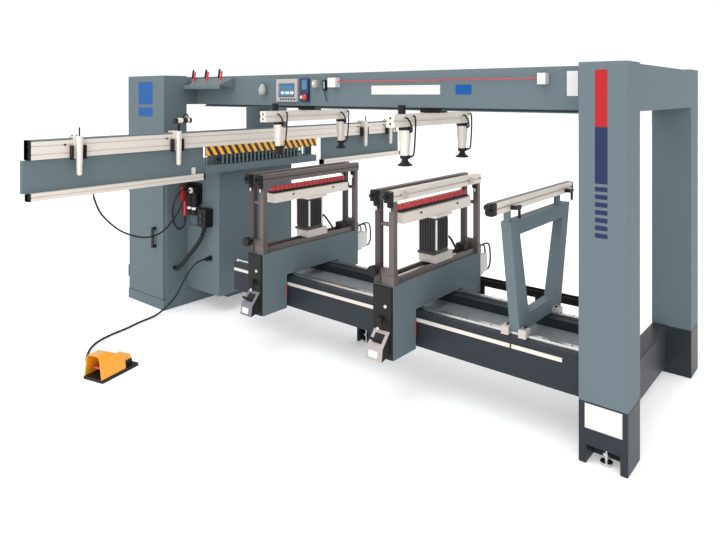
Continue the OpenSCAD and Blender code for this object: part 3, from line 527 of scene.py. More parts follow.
class Shape:
    """Collects solids into one mesh, in metres, in the machine's frame."""

    def __init__(self):
        self.bm = bmesh.new()
        self.finishes = []

    def painted(self, faces, finish):
        """Gives faces a finish."""
        if finish not in self.finishes:
            self.finishes.append(finish)
        for face in faces:
            face.material_index = self.finishes.index(finish)

    def rounded(self, verts, edge, segments=2):
        """Rounds the edges of a new solid and returns its faces."""
        if edge <= 0:
            return faces_of(verts)
        edges = {e for v in verts for e in v.link_edges if e.calc_face_angle(0) > math.radians(35)}
        made = bmesh.ops.bevel(self.bm, geom=list(edges), offset=edge, segments=segments, profile=0.5,
                               affect="EDGES", clamp_overlap=True)
        seen, waiting = set(), list(made["verts"])
        while waiting:
            vert = waiting.pop()
            if vert not in seen:
                seen.add(vert)
                waiting += [e.other_vert(vert) for e in vert.link_edges]
        return faces_of(seen)

    def box(self, low, high, finish, edge=BOX_EDGE):
        """A box between two corners."""
        low, high = Vector(low), Vector(high)
        size = high - low
        place = Matrix.Translation((low + high) / 2) @ Matrix.Diagonal((*size, 1))
        verts = bmesh.ops.create_cube(self.bm, size=1, matrix=place)["verts"]
        self.painted(self.rounded(verts, min(edge, 0.3 * min(size))), finish)

    def rod(self, start, end, radius, finish):
        """A round bar between two points."""
        start, end = Vector(start), Vector(end)
        along = end - start
        place = Matrix.Translation((start + end) / 2) @ along.to_track_quat("Z", "Y").to_matrix().to_4x4()
        verts = bmesh.ops.create_cone(self.bm, cap_ends=True, segments=ROD_SIDES, radius1=radius,
                                      radius2=radius, depth=along.length, matrix=place)["verts"]
        self.painted(self.rounded(verts, ROD_EDGE, 1), finish)

    def prism(self, outline, direction, thick, finish, edge):
        """A flat outline pushed along a direction."""
        bottom = [self.bm.verts.new(Vector(p)) for p in outline]
        face = self.bm.faces.new(bottom)
        pushed = bmesh.ops.extrude_face_region(self.bm, geom=[face])["geom"]
        top = [v for v in pushed if isinstance(v, bmesh.types.BMVert)]
        bmesh.ops.translate(self.bm, verts=top, vec=Vector(direction) * thick)
        verts = bottom + top
        bmesh.ops.recalc_face_normals(self.bm, faces=list(faces_of(verts)))
        self.painted(self.rounded(verts, edge), finish)

    def ring(self, centre, across, up, radius, sides):
        """Corners round a centre."""
        turns = [2 * math.pi * k / sides for k in range(sides)]
        return [self.bm.verts.new(centre + radius * (math.cos(t) * across + math.sin(t) * up)) for t in turns]

    def skinned(self, rings, finish):
        """Closes a row of rings into a solid."""
        made = []
        for a, b in zip(rings, rings[1:]):
            made += [self.bm.faces.new((a[k - 1], a[k], b[k], b[k - 1])) for k in range(len(a))]
        made += [self.bm.faces.new(list(reversed(rings[0]))), self.bm.faces.new(rings[-1])]
        bmesh.ops.recalc_face_normals(self.bm, faces=made)
        self.painted(made, finish)

    def lathe(self, profile, centre, axis, finish):
        """A turned solid: profile is (radius, distance along the axis)."""
        turn = Vector(axis).to_track_quat("Z", "Y")
        across, up, ahead = (turn @ way for way in (X_AXIS, Y_AXIS, Z_AXIS))
        rings = [self.ring(Vector(centre) + along * ahead, across, up, radius, LATHE_SIDES)
                 for radius, along in profile]
        self.skinned(rings, finish)

    def tube(self, points, radius, sides):
        """A round rubber tube along points."""
        rings = []
        side = (points[1] - points[0]).normalized().orthogonal().normalized()
        for k, point in enumerate(points):
            ahead = (points[min(k + 1, len(points) - 1)] - points[max(k - 1, 0)]).normalized()
            side = (side - ahead * side.dot(ahead)).normalized()
            rings.append(self.ring(point, side, ahead.cross(side), radius, sides))
        self.skinned(rings, black_rubber())

    def hose(self, points, radius, sides=12):
        """A rubber hose on the smooth curve through points."""
        self.tube(smooth_route(points), radius, sides)

    def object(self, name, body, slot, replaces=()):
        """Turns the collected solids into a piece that rides on a body."""
        return finished_piece(self.bm, name, self.finishes, body, slot, replaces)


def finished_piece(shape, name, finishes, body, slot, replaces):
    """A piece from a finished shape."""
    mesh = bpy.data.meshes.new(name)
    shape.to_mesh(mesh)
    shape.free()
    for finish in finishes:
        mesh.materials.append(finish)
    piece = linked(name, mesh)
    shaded(piece)
    return ridden(piece, body, slot, replaces)


def shaded(piece):
    """Smooth shading in which wide faces stay flat."""
    piece.data.shade_smooth()
    piece.data.set_sharp_from_angle(angle=math.radians(50))
    piece.modifiers.new("flat faces", "WEIGHTED_NORMAL").keep_sharp = True


def ridden(piece, body, slot, replaces=()):
    """Lets a finished piece ride on a body and stand for CAD nodes."""
    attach(piece, body)
    if replaces:
        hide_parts(*replaces)
    return piece


def span(node):
    """Lowest and highest corner of a CAD node."""
    low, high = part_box(node)
    return Vector(low), Vector(high)


def middle_x(node):
    """Middle of a CAD node along the bed."""
    low, high = span(node)
    return (low.x + high.x) / 2


def dressed(node, finish, edge=None, zones=(), corner=0.0, at_corner=None, cuts=()):
    """A copy of a CAD node with rounded edges, in the node's place. Each zone is a test on a face's middle
    and normal, with the finish of the faces that pass. Edges that pass at_corner are rounded more. Faces are
    split at the heights in cuts, so that a zone can end there."""
    shape = bmesh.new()
    shape.from_mesh(frame["nodes"][node].data)
    bmesh.ops.remove_doubles(shape, verts=shape.verts, dist=1e-6)
    bmesh.ops.dissolve_limit(shape, angle_limit=math.radians(0.5), verts=shape.verts, edges=shape.edges)
    if at_corner:
        picked = [e for e in shape.edges if at_corner(e.verts[0].co, e.verts[1].co)]
        bmesh.ops.bevel(shape, geom=picked, offset=corner, segments=6, profile=0.5, affect="EDGES",
                        clamp_overlap=True)
    sharp = [e for e in shape.edges if e.is_manifold and e.calc_face_angle(0) > math.radians(40)]
    bmesh.ops.bevel(shape, geom=sharp, offset=edge or sizes().fine_edge, segments=2, profile=0.5,
                    affect="EDGES", clamp_overlap=True)
    for level in cuts:
        bmesh.ops.bisect_plane(shape, geom=[*shape.verts, *shape.edges, *shape.faces], plane_co=(0, 0, level),
                               plane_no=(0, 0, 1))
    shape.normal_update()
    for face in shape.faces:
        middle = face.calc_center_median()
        passed = [number for number, (test, _) in enumerate(zones, 1) if test(middle, face.normal)]
        face.material_index = passed[0] if passed else 0
    finishes = (finish, *(shown for _, shown in zones))
    return finished_piece(shape, node + "_dressed", finishes, BODY_OF[node], SLOT_OF[node], [node])


# Repeated fittings

CAP_SCREW = {"Finish": [(14, 1.0, 0.0, 0.8), (14, 0.9, 0.8, 1.0)], "Inner finish": [(6, 0.52, 0.9, 1.02)]}
DRILL_CHUCK = {
    "Finish": [(18, 1.0, 0.0, 0.55), (18, 0.82, 0.55, 0.62), (18, 1.0, 0.62, 0.88), (18, 0.8, 0.88, 1.0)],
    "Inner finish": [(12, 0.36, 0.9, 1.015)],
}


def fitting_tree(name, rounds):
    """Geometry Nodes: a turned fitting on every point, along the point's facing. Each finish has stacked
    rounds: sides, share of the radius, and where it starts and ends along the length."""
    if name in bpy.data.node_groups:
        return bpy.data.node_groups[name]
    tree, given, result = new_group(
        name, "GeometryNodeTree",
        [("Geometry", "Geometry"), ("Radius", "Float", 0.006), ("Length", "Float", 0.006),
         *((label, "Material") for label in rounds)],
        [("Geometry", "Geometry")])
    facing = new_node(tree, "GeometryNodeInputNamedAttribute", {"Name": "facing"}, data_type="FLOAT_VECTOR")
    turned = new_node(tree, "FunctionNodeAlignRotationToVector", {"Vector": facing.outputs["Attribute"]},
                      axis="Z")
    together = tree.nodes.new("GeometryNodeJoinGeometry")
    for label, stack in rounds.items():
        stacked = tree.nodes.new("GeometryNodeJoinGeometry")
        for sides, share, start, end in stack:
            part = new_node(tree, "GeometryNodeMeshCylinder", {
                "Vertices": sides, "Radius": maths(tree, "MULTIPLY", given["Radius"], share),
                "Depth": maths(tree, "MULTIPLY", given["Length"], end - start)})
            lift = new_node(tree, "ShaderNodeCombineXYZ",
                            {"Z": maths(tree, "MULTIPLY", given["Length"], (start + end) / 2)})
            placed = new_node(tree, "GeometryNodeTransform", {
                "Geometry": part.outputs["Mesh"], "Translation": lift.outputs["Vector"]})
            tree.links.new(placed.outputs["Geometry"], stacked.inputs["Geometry"])
        spread = new_node(tree, "GeometryNodeInstanceOnPoints", {
            "Points": given["Geometry"], "Instance": stacked.outputs["Geometry"],
            "Rotation": turned.outputs["Rotation"]})
        real = new_node(tree, "GeometryNodeRealizeInstances", {"Geometry": spread.outputs["Instances"]})
        coated = new_node(tree, "GeometryNodeSetMaterial", {
            "Geometry": real.outputs["Geometry"], "Material": given[label]})
        tree.links.new(coated.outputs["Geometry"], together.inputs["Geometry"])
    tree.links.new(together.outputs["Geometry"], result.inputs["Geometry"])
    return tree


def fitted(name, tree, places, radius, tall, finish, body, slot, replaces=()):
    """Fittings at places, each a point and its facing, as one plain mesh that rides on a body."""
    points = bpy.data.meshes.new(name + "_points")
    points.from_pydata([tuple(point) for point, _ in places], [], [])
    facing = points.attributes.new("facing", "FLOAT_VECTOR", "POINT")
    facing.data.foreach_set("vector", [part for _, direction in places for part in direction])
    piece = linked(name, points)
    modifier = piece.modifiers.new("fittings", "NODES")
    modifier.node_group = tree
    values = {"Radius": radius, "Length": tall, "Finish": finish, "Inner finish": black_rubber()}
    for entry in tree.interface.items_tree:
        if entry.item_type == "SOCKET" and entry.in_out == "INPUT" and entry.name in values:
            modifier[entry.identifier] = values[entry.name]
    graph = bpy.context.evaluated_depsgraph_get()
    mesh = bpy.data.meshes.new_from_object(piece.evaluated_get(graph))
    piece.modifiers.clear()
    piece.data = mesh
    mesh.name = name
    shaded(piece)
    return ridden(piece, body, slot, replaces)


def screwed(name, places, body, radius=None):
    """Black cap screws with a hexagon socket at places, on a body."""
    size = radius or sizes().screw
    return fitted(name, fitting_tree("Cap screw", CAP_SCREW), places, size, size, black_plastic(), body,
                  "black_plastic")


def line_of(start, end, count, facing):
    """Evenly spaced places from start to end."""
    start, end = Vector(start), Vector(end)
    return [(start.lerp(end, k / (count - 1)), facing) for k in range(count)]


# Stage

class MACHINE_OT_stage(bpy.types.Operator):
    """Makes the floor, the light and the camera"""
    bl_idname = "machine.stage"
    bl_label = "Stage"

    def execute(self, context):
        scene = context.scene
        settings = scene.machine_stage
        scene.view_settings.view_transform = "Standard"
        self.floor()
        world = bpy.data.worlds.new("studio")
        world.use_nodes = True
        background = world.node_tree.nodes["Background"]
        background.inputs["Color"].default_value = (1, 1, 1, 1)
        background.inputs["Strength"].default_value = SKY_STRENGTH
        scene.world = world
        for name, (place, power) in LAMPS.items():
            self.lamp(name, place, power)
        eye = bpy.data.cameras.new("eye")
        eye.lens = settings.lens
        eye.sensor_width = 36
        eye.shift_y = settings.rise
        eye.clip_end = 100
        scene.camera = linked("eye", eye)
        scene.camera.location = settings.eye
        scene.camera.rotation_euler = (math.radians(90), 0, settings.heading)
        return {"FINISHED"}

    def floor(self):
        """A wide pale floor with a faint glow of its own."""
        mesh = bpy.data.meshes.new("floor")
        corners = [(x * FLOOR_REACH, y * FLOOR_REACH, 0) for x, y in ((-1, -1), (1, -1), (1, 1), (-1, 1))]
        mesh.from_pydata(corners, [], [(0, 1, 2, 3)])
        ground = floor_finish()
        shader = ground.node_tree.nodes["Principled BSDF"]
        shader.inputs["Emission Color"].default_value = (1, 1, 1, 1)
        shader.inputs["Emission Strength"].default_value = FLOOR_GLOW
        mesh.materials.append(ground)
        linked("floor", mesh)

    def lamp(self, name, place, power):
        """A soft square lamp that looks at the middle of the machine."""
        data = bpy.data.lights.new(name, "AREA")
        data.size = LAMP_SIZE
        data.energy = power
        lamp = linked(name, data)
        lamp.location = place
        lamp.rotation_euler = (LAMP_AIM - Vector(place)).to_track_quat("-Z", "Y").to_euler()


# Pedal cable

CABLE_ROUTE = [
    (-0.945, -0.319, 0.351), (-0.950, -0.345, 0.349), (-0.985, -0.370, 0.325), (-1.050, -0.380, 0.255),
    (-1.100, -0.392, 0.175), (-1.135, -0.415, 0.098), (-1.150, -0.480, 0.039), (-1.148, -0.540, 0.014),
    (-1.146, -0.590, 0.007), (-1.128, -0.680, 0.007), (-1.100, -0.770, 0.007), (-1.075, -0.890, 0.007),
    (-1.040, -0.980, 0.007), (-0.985, -1.050, 0.007), (-0.905, -1.110, 0.007), (-0.830, -1.150, 0.007),
    (-0.757, -1.165, 0.008), (-0.708, -1.153, 0.008),
]


class MACHINE_OT_pedal_cable(bpy.types.Operator):
    """Lays the pedal's cable from the gland to the pedal"""
    bl_idname = "machine.pedal_cable"
    bl_label = "Pedal cable"

    def execute(self, context):
        route = smooth_route(CABLE_ROUTE)
        line = bpy.data.curves.new("pedal_cable", "CURVE")
        line.dimensions = "3D"
        line.bevel_depth = sizes().cable / 2
        line.bevel_resolution = 4
        line.use_fill_caps = True
        spline = line.splines.new("POLY")
        spline.points.add(len(route) - 1)
        for point, place in zip(spline.points, route):
            point.co = (*place, 1)
        line.materials.append(black_rubber())
        cable = linked("pedal_cable", line)
        run = sum((b - a).length for a, b in zip(route, route[1:]))
        ridden(cable, "frame", "black_rubber", ["pedal_cord"])
        return {"FINISHED"}


# Painted frame

class MACHINE_OT_painted_frame(bpy.types.Operator):
    """Dresses the welded and bent sheet parts, the bands and the bare plates"""
    bl_idname = "machine.painted_frame"
    bl_label = "Painted frame"

    def execute(self, context):
        edge = sizes().sheet_edge
        for node in ("left_tower", "left_portal", "overhead_beam", "right_portal", "head_cabinet"):
            dressed(node, sheet_paint(), edge)
        dressed("right_base", base_paint(), edge)
        low = span("cabinet_door")[0]
        past_hinge, in_front = low.x + 0.05, low.y + GRIP_DEPTH - HAIR
        dressed("cabinet_door", sheet_paint(),
                zones=[(lambda c, n: c.y < in_front and c.x > past_hinge, black_plastic())])
        self.bands()
        return {"FINISHED"}

    def bands(self):
        """Plain bands on the column, the tower and the beam, bare plates, and the seam beside the tower."""
        trim = Shape()

        def band(face, left, right, bottom, top, finish):
            trim.box((left, face - FILM, bottom), (right, face, top), finish, 0)

        low, high = span("right_portal")
        left, right, top = high.x - 0.119, high.x - 0.073, high.z - 0.031
        split, end = top - 0.215, top - 0.428
        band(low.y, left, right, split, top, band_red())
        band(low.y, left, right, end, split, band_navy())
        dash, step = 0.017, 0.029
        for k in range(7):
            level = end - 0.012 - k * step
            band(low.y, left, right, level - dash, level, band_navy())
        low, high = span("overhead_beam")
        band(low.y, high.x - 0.109, high.x - 0.063, high.z - 0.124, high.z - 0.021, white_plastic())
        for left, right, finish in ((0.310, 0.730, white_plastic()), (0.815, 0.900, band_blue())):
            band(low.y, left, right, high.z - 0.118, high.z - 0.072, finish)
        low, high = span("right_base")
        band(low.y, low.x + 0.025, high.x - 0.020, high.z - 0.098, high.z - 0.005, white_plastic())
        low, high = span("left_tower")
        middle = (low.x + high.x) / 2
        for top, bottom in ((0.040, 0.190), (0.210, 0.270)):
            band(low.y, middle - 0.085, middle + 0.085, high.z - bottom, high.z - top, band_blue())
        seam = 0.006
        trim.box((high.x - seam, high.y - seam, CABINET_LIFT),
                 (high.x + seam / 3, high.y + seam, TABLE_BOTTOM), sheet_paint(), 0)
        trim.object("bands_and_plates", "frame", "white_plastic")


# Bed

class MACHINE_OT_bed(bpy.types.Operator):
    """Dresses the bed, its rails, tray, duct and feet"""
    bl_idname = "machine.bed"
    bl_label = "Bed"

    def execute(self, context):
        dressed("bed_frame", base_paint(), sizes().sheet_edge)
        low, high = span("bed_rails")
        dressed("bed_rails", bright_steel(), zones=[(lambda c, n: c.y < low.y + 0.0062, light_alloy_x())])
        dressed("chip_tray", tray_paint())
        dressed("cable_duct", black_plastic())
        dressed("levelling_feet", bright_steel())
        self.rail_screws(low, high)
        self.cables()
        return {"FINISHED"}

    def rail_screws(self, low, high):
        """Sunk screws along both guide rails."""
        margin, level = 0.05, high.z - sizes().screw + 0.0002
        bed_low, bed_high = span("bed_frame")
        places = []
        for y in (bed_low.y + GUIDE_INSET, bed_high.y - GUIDE_INSET):
            places += line_of((low.x + margin, y, level), (high.x - margin, y, level), 18, Z_AXIS)
        screwed("rail_screws", places, "frame")

    def cables(self):
        """Loose cables in the duct behind the bed."""
        low, high = span("cable_duct")
        wall, steps = 0.005, 40
        width, height = DUCT_SIZE
        runs = Shape()
        for k in range(3):
            radius = 0.005 + 0.001 * (k % 2)
            across = high.y - width + wall + 0.009 + 0.011 * k
            level = high.z - height + wall + radius + 0.002
            points = []
            for step in range(steps + 1):
                along = low.x + 0.01 + (high.x - low.x - 0.02) * step / steps
                points.append(Vector((along, across + 0.002 * math.sin(9 * along + 2 * k), level)))
            runs.tube(points, radius, 10)
        runs.object("duct_cables", "frame", "black_rubber")


# Fence

class MACHINE_OT_fence(bpy.types.Operator):
    """Dresses the fence, its stops and the horizontal head"""
    bl_idname = "machine.fence"
    bl_label = "Fence"

    def execute(self, context):
        self.rails()
        for number in STOPS:
            self.stop(number)
        self.horizontal_head()
        return {"FINISHED"}

    def rails(self):
        """Profile, panels and lower rails with their end caps."""
        cap, proud = sizes().end_cap, Vector((0.0002, 0, 0.0002))
        low, high = span("fence_profile")
        blue_edge = high.z - 0.008
        dressed("fence_profile", light_alloy_y(), zones=[(lambda c, n: c.z > blue_edge, sheet_paint())],
                cuts=[blue_edge])
        below, above = span("fence_skirts")
        rail_top = below.z + RAIL_HEIGHT
        dressed("fence_skirts", sheet_paint(), zones=[(lambda c, n: c.z < rail_top + HAIR, light_alloy_y())])
        trim = Shape()

        def end_caps(left, right, bottom, top, ends):
            for start in ends:
                trim.box(Vector((left, start, bottom)) - proud, Vector((right, start + cap, top)) + proud,
                         black_plastic())

        end_caps(low.x, high.x, low.z, high.z, (low.y, high.y - cap))
        end_caps(above.x - RAIL_DEPTH, above.x, below.z, rail_top,
                 (low.y, LEFT_SECTION_END - cap, RIGHT_SECTION_START, above.y - cap))
        trim.box((above.x - 0.032, LEFT_SECTION_END - 0.085, rail_top),
                 (above.x - 0.010, LEFT_SECTION_END - 0.063, rail_top + 0.042), white_plastic(), 0.003)
        low, high = span("hazard_guard")
        # A thin charcoal plate at the guard's left end stands partly for the guard's end plate and partly for
        # painted shade beside it
        trim.box((low.x, LEFT_SECTION_END, low.z), (low.x + 0.004, low.y - 0.002, high.z), base_paint(),
                 0.0005)
        trim.object("fence_trim", "frame", "black_plastic")

    def stop(self, number):
        """One panel stop: light clamp and finger between black cheeks."""
        node, body = f"stop_{number}", f"fence_stop_{number}"
        low, high = span(node)
        profile_low, profile_high = span("fence_profile")
        x, y = high.x - 0.018, low.y + 0.037
        clamp_top = profile_high.z + 0.0104

        def on_cylinder(c, n):
            return number == 2 and c.z > high.z - 0.031

        def on_black(c, n):
            return abs(c.y - y) > 0.0225 or c.z > clamp_top + 0.0003

        dressed(node, light_alloy(), zones=[(on_cylinder, light_alloy_y()), (on_black, black_plastic())])
        level = profile_low.z + 0.68 * (profile_high.z - profile_low.z)
        screwed(f"stop_screws_{number}", [
            (Vector((profile_high.x + FILM, y - 0.060, level)), X_AXIS),
            *line_of((low.x + 0.014, y - 0.011, clamp_top), (low.x + 0.014, y + 0.011, clamp_top), 2, Z_AXIS),
        ], body, 0.005)
        if number == 2:
            self.stop_fittings(body, x, y, high.z - 0.015)

    def stop_fittings(self, body, x, y, axis):
        """Black bands and an air elbow on the driven stop's cylinder."""
        fit = Shape()
        for start, end in ((-0.028, -0.012), (0.022, 0.052), (0.066, 0.080)):
            fit.rod((x, y + start, axis), (x, y + end, axis), 0.0162, black_plastic())
        fit.hose([(x, y + 0.060, axis), (x, y + 0.062, axis + 0.024), (x - 0.016, y + 0.062, axis + 0.036),
                  (x - 0.040, y + 0.058, axis + 0.024), (x - 0.052, y + 0.050, axis - 0.020)], 0.004)
        fit.object("stop_cylinder_fittings", body, "black_plastic")

    def horizontal_head(self):
        """Striped guard, gearbox, chuck row and motor of the fixed head."""
        stripes_end = span("hazard_guard")[1].z - GUARD_HEIGHT
        dressed("hazard_guard", striped_paint(), zones=[(lambda c, n: c.z < stripes_end, sheet_paint())],
                cuts=[stripes_end])
        dressed("side_gearbox", sheet_paint())
        dressed("side_motor", motor_iron())
        low, high = span("side_chucks")
        radius, axis = (high.z - low.z) / 2, (high.z + low.z) / 2
        places = line_of((low.x, low.y + radius, axis), (low.x, high.y - radius, axis), SIDE_SPINDLES, X_AXIS)
        fitted("side_chuck_row", fitting_tree("Drill chuck", DRILL_CHUCK), places, radius, high.x - low.x,
               motor_iron(), "side_head", "motor_black", ["side_chucks"])
        low, high = span("side_gearbox")
        x, margin = low.x + 0.012, 0.03
        screwed("side_gearbox_screws",
                line_of((x, low.y + margin, high.z), (x, high.y - margin, high.z), 10, Z_AXIS), "side_head")


# Travelling heads

class MACHINE_OT_heads(bpy.types.Operator):
    """Dresses both travelling heads"""
    bl_idname = "machine.heads"
    bl_label = "Travelling heads"

    def execute(self, context):
        for number in HEADS:
            self.carriage(number)
            self.bars(number)
            self.boring_unit(number)
            self.motor(number)
            self.front_controls(number)
            self.rear_valves(number)
        return {"FINISHED"}

    def carriage(self, number):
        """Saddle, posts with their foot clamps, and the lift base."""
        dressed(f"saddle_{number}", sheet_paint(), sizes().sheet_edge)
        low, high = span(f"posts_{number}")
        middle = (low.x + high.x) / 2
        # The left posts take a darker copy of the bronze as painted shade
        dressed(f"posts_{number}", bronze_alloy(), zones=[(lambda c, n: c.x < middle, painted_shade_bronze())])
        collar = 0.004
        trim = Shape()
        for y in (low.y, high.y - POST_SIDE):
            trim.box((low.x + POST_SIDE, y + 0.002, low.z),
                     (high.x - POST_SIDE, y + POST_SIDE - 0.002, low.z + 0.072), bronze_alloy())
            # The left collar takes the same painted shade
            for x, finish in ((low.x, painted_shade_bronze()), (high.x - POST_SIDE, bronze_alloy())):
                trim.box((x - collar, y - collar, low.z),
                         (x + POST_SIDE + collar, y + POST_SIDE + collar, low.z + 0.045), finish, 0.002)
        right = span(f"saddle_{number}")[1].x
        leg = span("bed_frame")[0].y - LEG_GAP
        trim.box((right, leg - 0.006, 0.278), (right + 0.0008, leg, 0.357), red_paint(), 0)
        trim.box((low.x + 0.026, high.y - 0.125, low.z + 0.014),
                 (high.x - 0.026, high.y - 0.060, low.z + 0.062), black_plastic(), 0.004)
        low, high = span(f"lift_base_{number}")
        trim.box((middle - 0.008, low.y, low.z), (middle + 0.008, high.y, low.z + 0.018), bright_steel())
        trim.object(f"post_clamps_{number}", f"head_{number}", "bronze_alloy")
        rail_top = low.z + LIFT_RAIL + 0.0002
        dressed(f"lift_base_{number}", pale_alloy(), zones=[(lambda c, n: c.z < rail_top, bronze_alloy())])
        dressed(f"clamp_knob_{number}", black_plastic())

    def bars(self, number):
        """Support bars with end caps and the clamps under them."""
        low, high = span(f"bars_{number}")
        middle, level = (low.x + high.x) / 2, (low.z + high.z) / 2
        # On the first head the right bar takes the bronze instead of the light alloy, as painted shade
        right = light_alloy_y() if number == 2 else bronze_alloy_y()
        dressed(f"bars_{number}", bronze_alloy_y(), zones=[(lambda c, n: c.x > middle, right)])
        trim = Shape()
        post_low, post_high = span(f"posts_{number}")
        for x in (low.x + BAR_WIDTH / 2, high.x - BAR_WIDTH / 2):
            trim.box((x - 0.0165, low.y - 0.003, low.z - 0.003), (x + 0.0165, low.y + 0.030, high.z + 0.0005),
                     black_plastic(), 0.003)
            trim.rod((x - 0.004, low.y - 0.016, level), (x - 0.004, low.y, level), 0.009, black_plastic())
            trim.box((x - 0.014, high.y, low.z + 0.004), (x + 0.014, high.y + 0.004, high.z - 0.004),
                     black_plastic())
            for y in (post_low.y - 0.016, post_high.y - POST_SIDE - 0.016):
                trim.box((x - 0.013, y, low.z - 0.026), (x + 0.013, y + 0.014, low.z), black_plastic(), 0.003)
                trim.rod((x, y + 0.007, low.z - 0.044), (x, y + 0.007, low.z - 0.026), 0.005, bright_steel())
        if number == 2:
            for y in (low.y + 0.090, high.y - 0.130):
                trim.box((high.x, y, low.z + 0.008), (high.x + 0.008, y + 0.040, low.z + 0.036), pale_alloy())
        trim.object(f"bar_fittings_{number}", f"head_{number}", "black_plastic")

    def boring_unit(self, number):
        """Gearbox with its guide columns, screws, chuck row and rear bracket."""
        body = f"unit_{number}"
        low, high = span(f"gearbox_{number}")
        underside = high.z - GEARBOX_HEIGHT - HAIR
        dressed(f"gearbox_{number}", light_alloy_y(), zones=[(lambda c, n: c.z < underside, bright_steel())])
        middle, level = (low.x + high.x) / 2, high.z - 0.015
        places = []
        for side in (-1, 1):
            face = middle + side * GEARBOX_WIDTH / 2
            places += line_of((face, low.y + 0.14, level), (face, high.y - 0.14, level), 2, side * X_AXIS)
        screwed(f"gearbox_screws_{number}", places, body, 0.005)
        row_low, row_high = span(f"chucks_{number}")
        start = row_low.z + 0.013
        trim = Shape()
        trim.box(row_low, (row_high.x, row_high.y, start), black_plastic())
        trim.box((middle - 0.018, high.y, high.z - 0.034), (middle + 0.018, high.y + 0.030, high.z - 0.010),
                 black_plastic(), 0.002)
        trim.hose([(middle + 0.010, high.y - 0.012, high.z + 0.006),
                   (middle + 0.014, high.y + 0.012, high.z + 0.004),
                   (middle + 0.016, high.y + 0.030, high.z - 0.016),
                   (middle + 0.014, high.y + 0.024, high.z - 0.030)], 0.004)
        trim.object(f"gearbox_fittings_{number}", body, "black_plastic")
        places = line_of((middle, row_low.y + ROW_MARGIN, start), (middle, row_high.y - ROW_MARGIN, start),
                         SPINDLES, Z_AXIS)
        fitted(f"chuck_row_{number}", fitting_tree("Drill chuck", DRILL_CHUCK), places, COLLAR_RADIUS,
               row_high.z - start, red_paint(), body, "red_chucks", [f"chucks_{number}"])

    def motor(self, number):
        """Finned motor with light alloy strips on its corners as painted highlights, and a cable from its
        foot.
        """
        dressed(f"motor_{number}", motor_iron())
        low, high = span(f"motor_{number}")
        x, y = (low.x + high.x) / 2, high.y - MOTOR_FIN - MOTOR_SIDE / 2
        highlight_strip = 0.008
        reach = MOTOR_SIDE / 2 + 0.004 - highlight_strip / 2
        trim = Shape()
        # Light alloy strips on three corners of the black motor are painted highlights of its edges
        for across, along in ((1, -1), (-1, -1), (1, 1)):
            corner = Vector((x + across * reach, y + along * reach))
            trim.box((corner.x - highlight_strip / 2, corner.y - highlight_strip / 2, low.z + 0.022),
                     (corner.x + highlight_strip / 2, corner.y + highlight_strip / 2, high.z - 0.008), light_alloy())
        trim.hose([(x + 0.040, y + 0.052, low.z + 0.075), (x + 0.042, y + 0.085, low.z + 0.062),
                   (x + 0.042, y + 0.125, low.z + 0.020), (x + 0.040, y + 0.160, low.z - 0.020)], 0.006)
        trim.object(f"motor_fittings_{number}", f"unit_{number}", "motor_black")

    def front_controls(self, number):
        """Black front plate, counter with its pane and lever, and the clamp lever above."""
        saddle_low, saddle_high = span(f"saddle_{number}")
        front, foot = span(f"controls_{number}")[0].y, saddle_low.z
        x = middle_x(f"controls_{number}")
        plate = saddle_low.y - PLATE_THICK

        def on_face(c, n):
            return c.y < plate - HAIR and abs(n.x) < 0.5

        def on_valve(c, n):
            return saddle_high.y + HAIR < c.y < saddle_high.y + VALVE_DEPTH + HAIR

        face = rose_plastic() if number == 2 else lilac_plastic()
        dressed(f"controls_{number}", black_plastic(), zones=[(on_face, face), (on_valve, white_plastic())])
        trim = Shape()
        edge = (front + 0.008, foot + 0.070)
        self.pane(trim, (front, foot + 0.014), edge, (x - 0.032, x + 0.018), (0.20, 0.72), grey_display())
        self.pane(trim, edge, (plate, foot + 0.130), (x - 0.026, x + 0.026), (0.25, 0.80), black_rubber())
        trim.rod((x + 0.012, front + 0.020, foot + 0.094), (x - 0.020, front - 0.004, foot + 0.112), 0.006,
                 black_plastic())
        pivot = Vector((x - 0.004, plate, saddle_high.z - 0.150))
        trim.lathe([(0.014, 0), (0.014, 0.012), (0.010, 0.016), (0.006, 0.018)], pivot, -Y_AXIS,
                   black_plastic())
        trim.rod(pivot - 0.012 * Y_AXIS, pivot + Vector((0.030, -0.030, -0.034)), 0.006, black_plastic())
        for across, level in ((0.022, 0.088), (-0.020, 0.196)):
            trim.lathe([(0.009, 0), (0.009, 0.006), (0.006, 0.009)],
                       (x + across, plate, saddle_high.z - level), -Y_AXIS, bright_steel())
        trim.object(f"counter_fittings_{number}", f"head_{number}", "bright_steel")

    def pane(self, shape, start, end, sides, share, finish):
        """A flat pane over a share of a sloping face that runs from start to end, both (y, z)."""
        start, end = Vector(start), Vector(end)
        slope = end - start
        (left, right), (a, b) = sides, (start + part * slope for part in share)
        outline = [(left, *a), (right, *a), (right, *b), (left, *b)]
        shape.prism(outline, Vector((0, -slope.y, slope.x)).normalized(), 0.0015, finish, 0.0005)

    def rear_valves(self, number):
        """Second valve block, and hoses that loop behind it."""
        saddle_high = span(f"saddle_{number}")[1]
        x = middle_x(f"controls_{number}")
        top, rear = saddle_high.z - 0.029, saddle_high.y
        loops = Shape()
        loops.box((x - 0.030, rear + VALVE_DEPTH - 0.003, top - 0.100),
                  (x + 0.034, rear + 0.115, top - 0.004), white_plastic(), 0.003)
        for k, across in enumerate((-0.018, 0.006, 0.024)):
            reach, rise = rear + 0.122 + 0.013 * k, top + 0.022 + 0.010 * k
            loops.hose([(x + across, rear + 0.020, top - 0.010),
                        (x + across, rear + 0.026, rise),
                        (x + across * 1.2, reach - 0.014, rise + 0.004),
                        (x + across * 1.4, reach, top - 0.040),
                        (x + across * 1.3, reach - 0.014, top - 0.086),
                        (x + across, rear + 0.100, top - 0.094)], 0.005, 8)
        loops.object(f"valve_hoses_{number}", f"head_{number}", "black_rubber")


# Third support

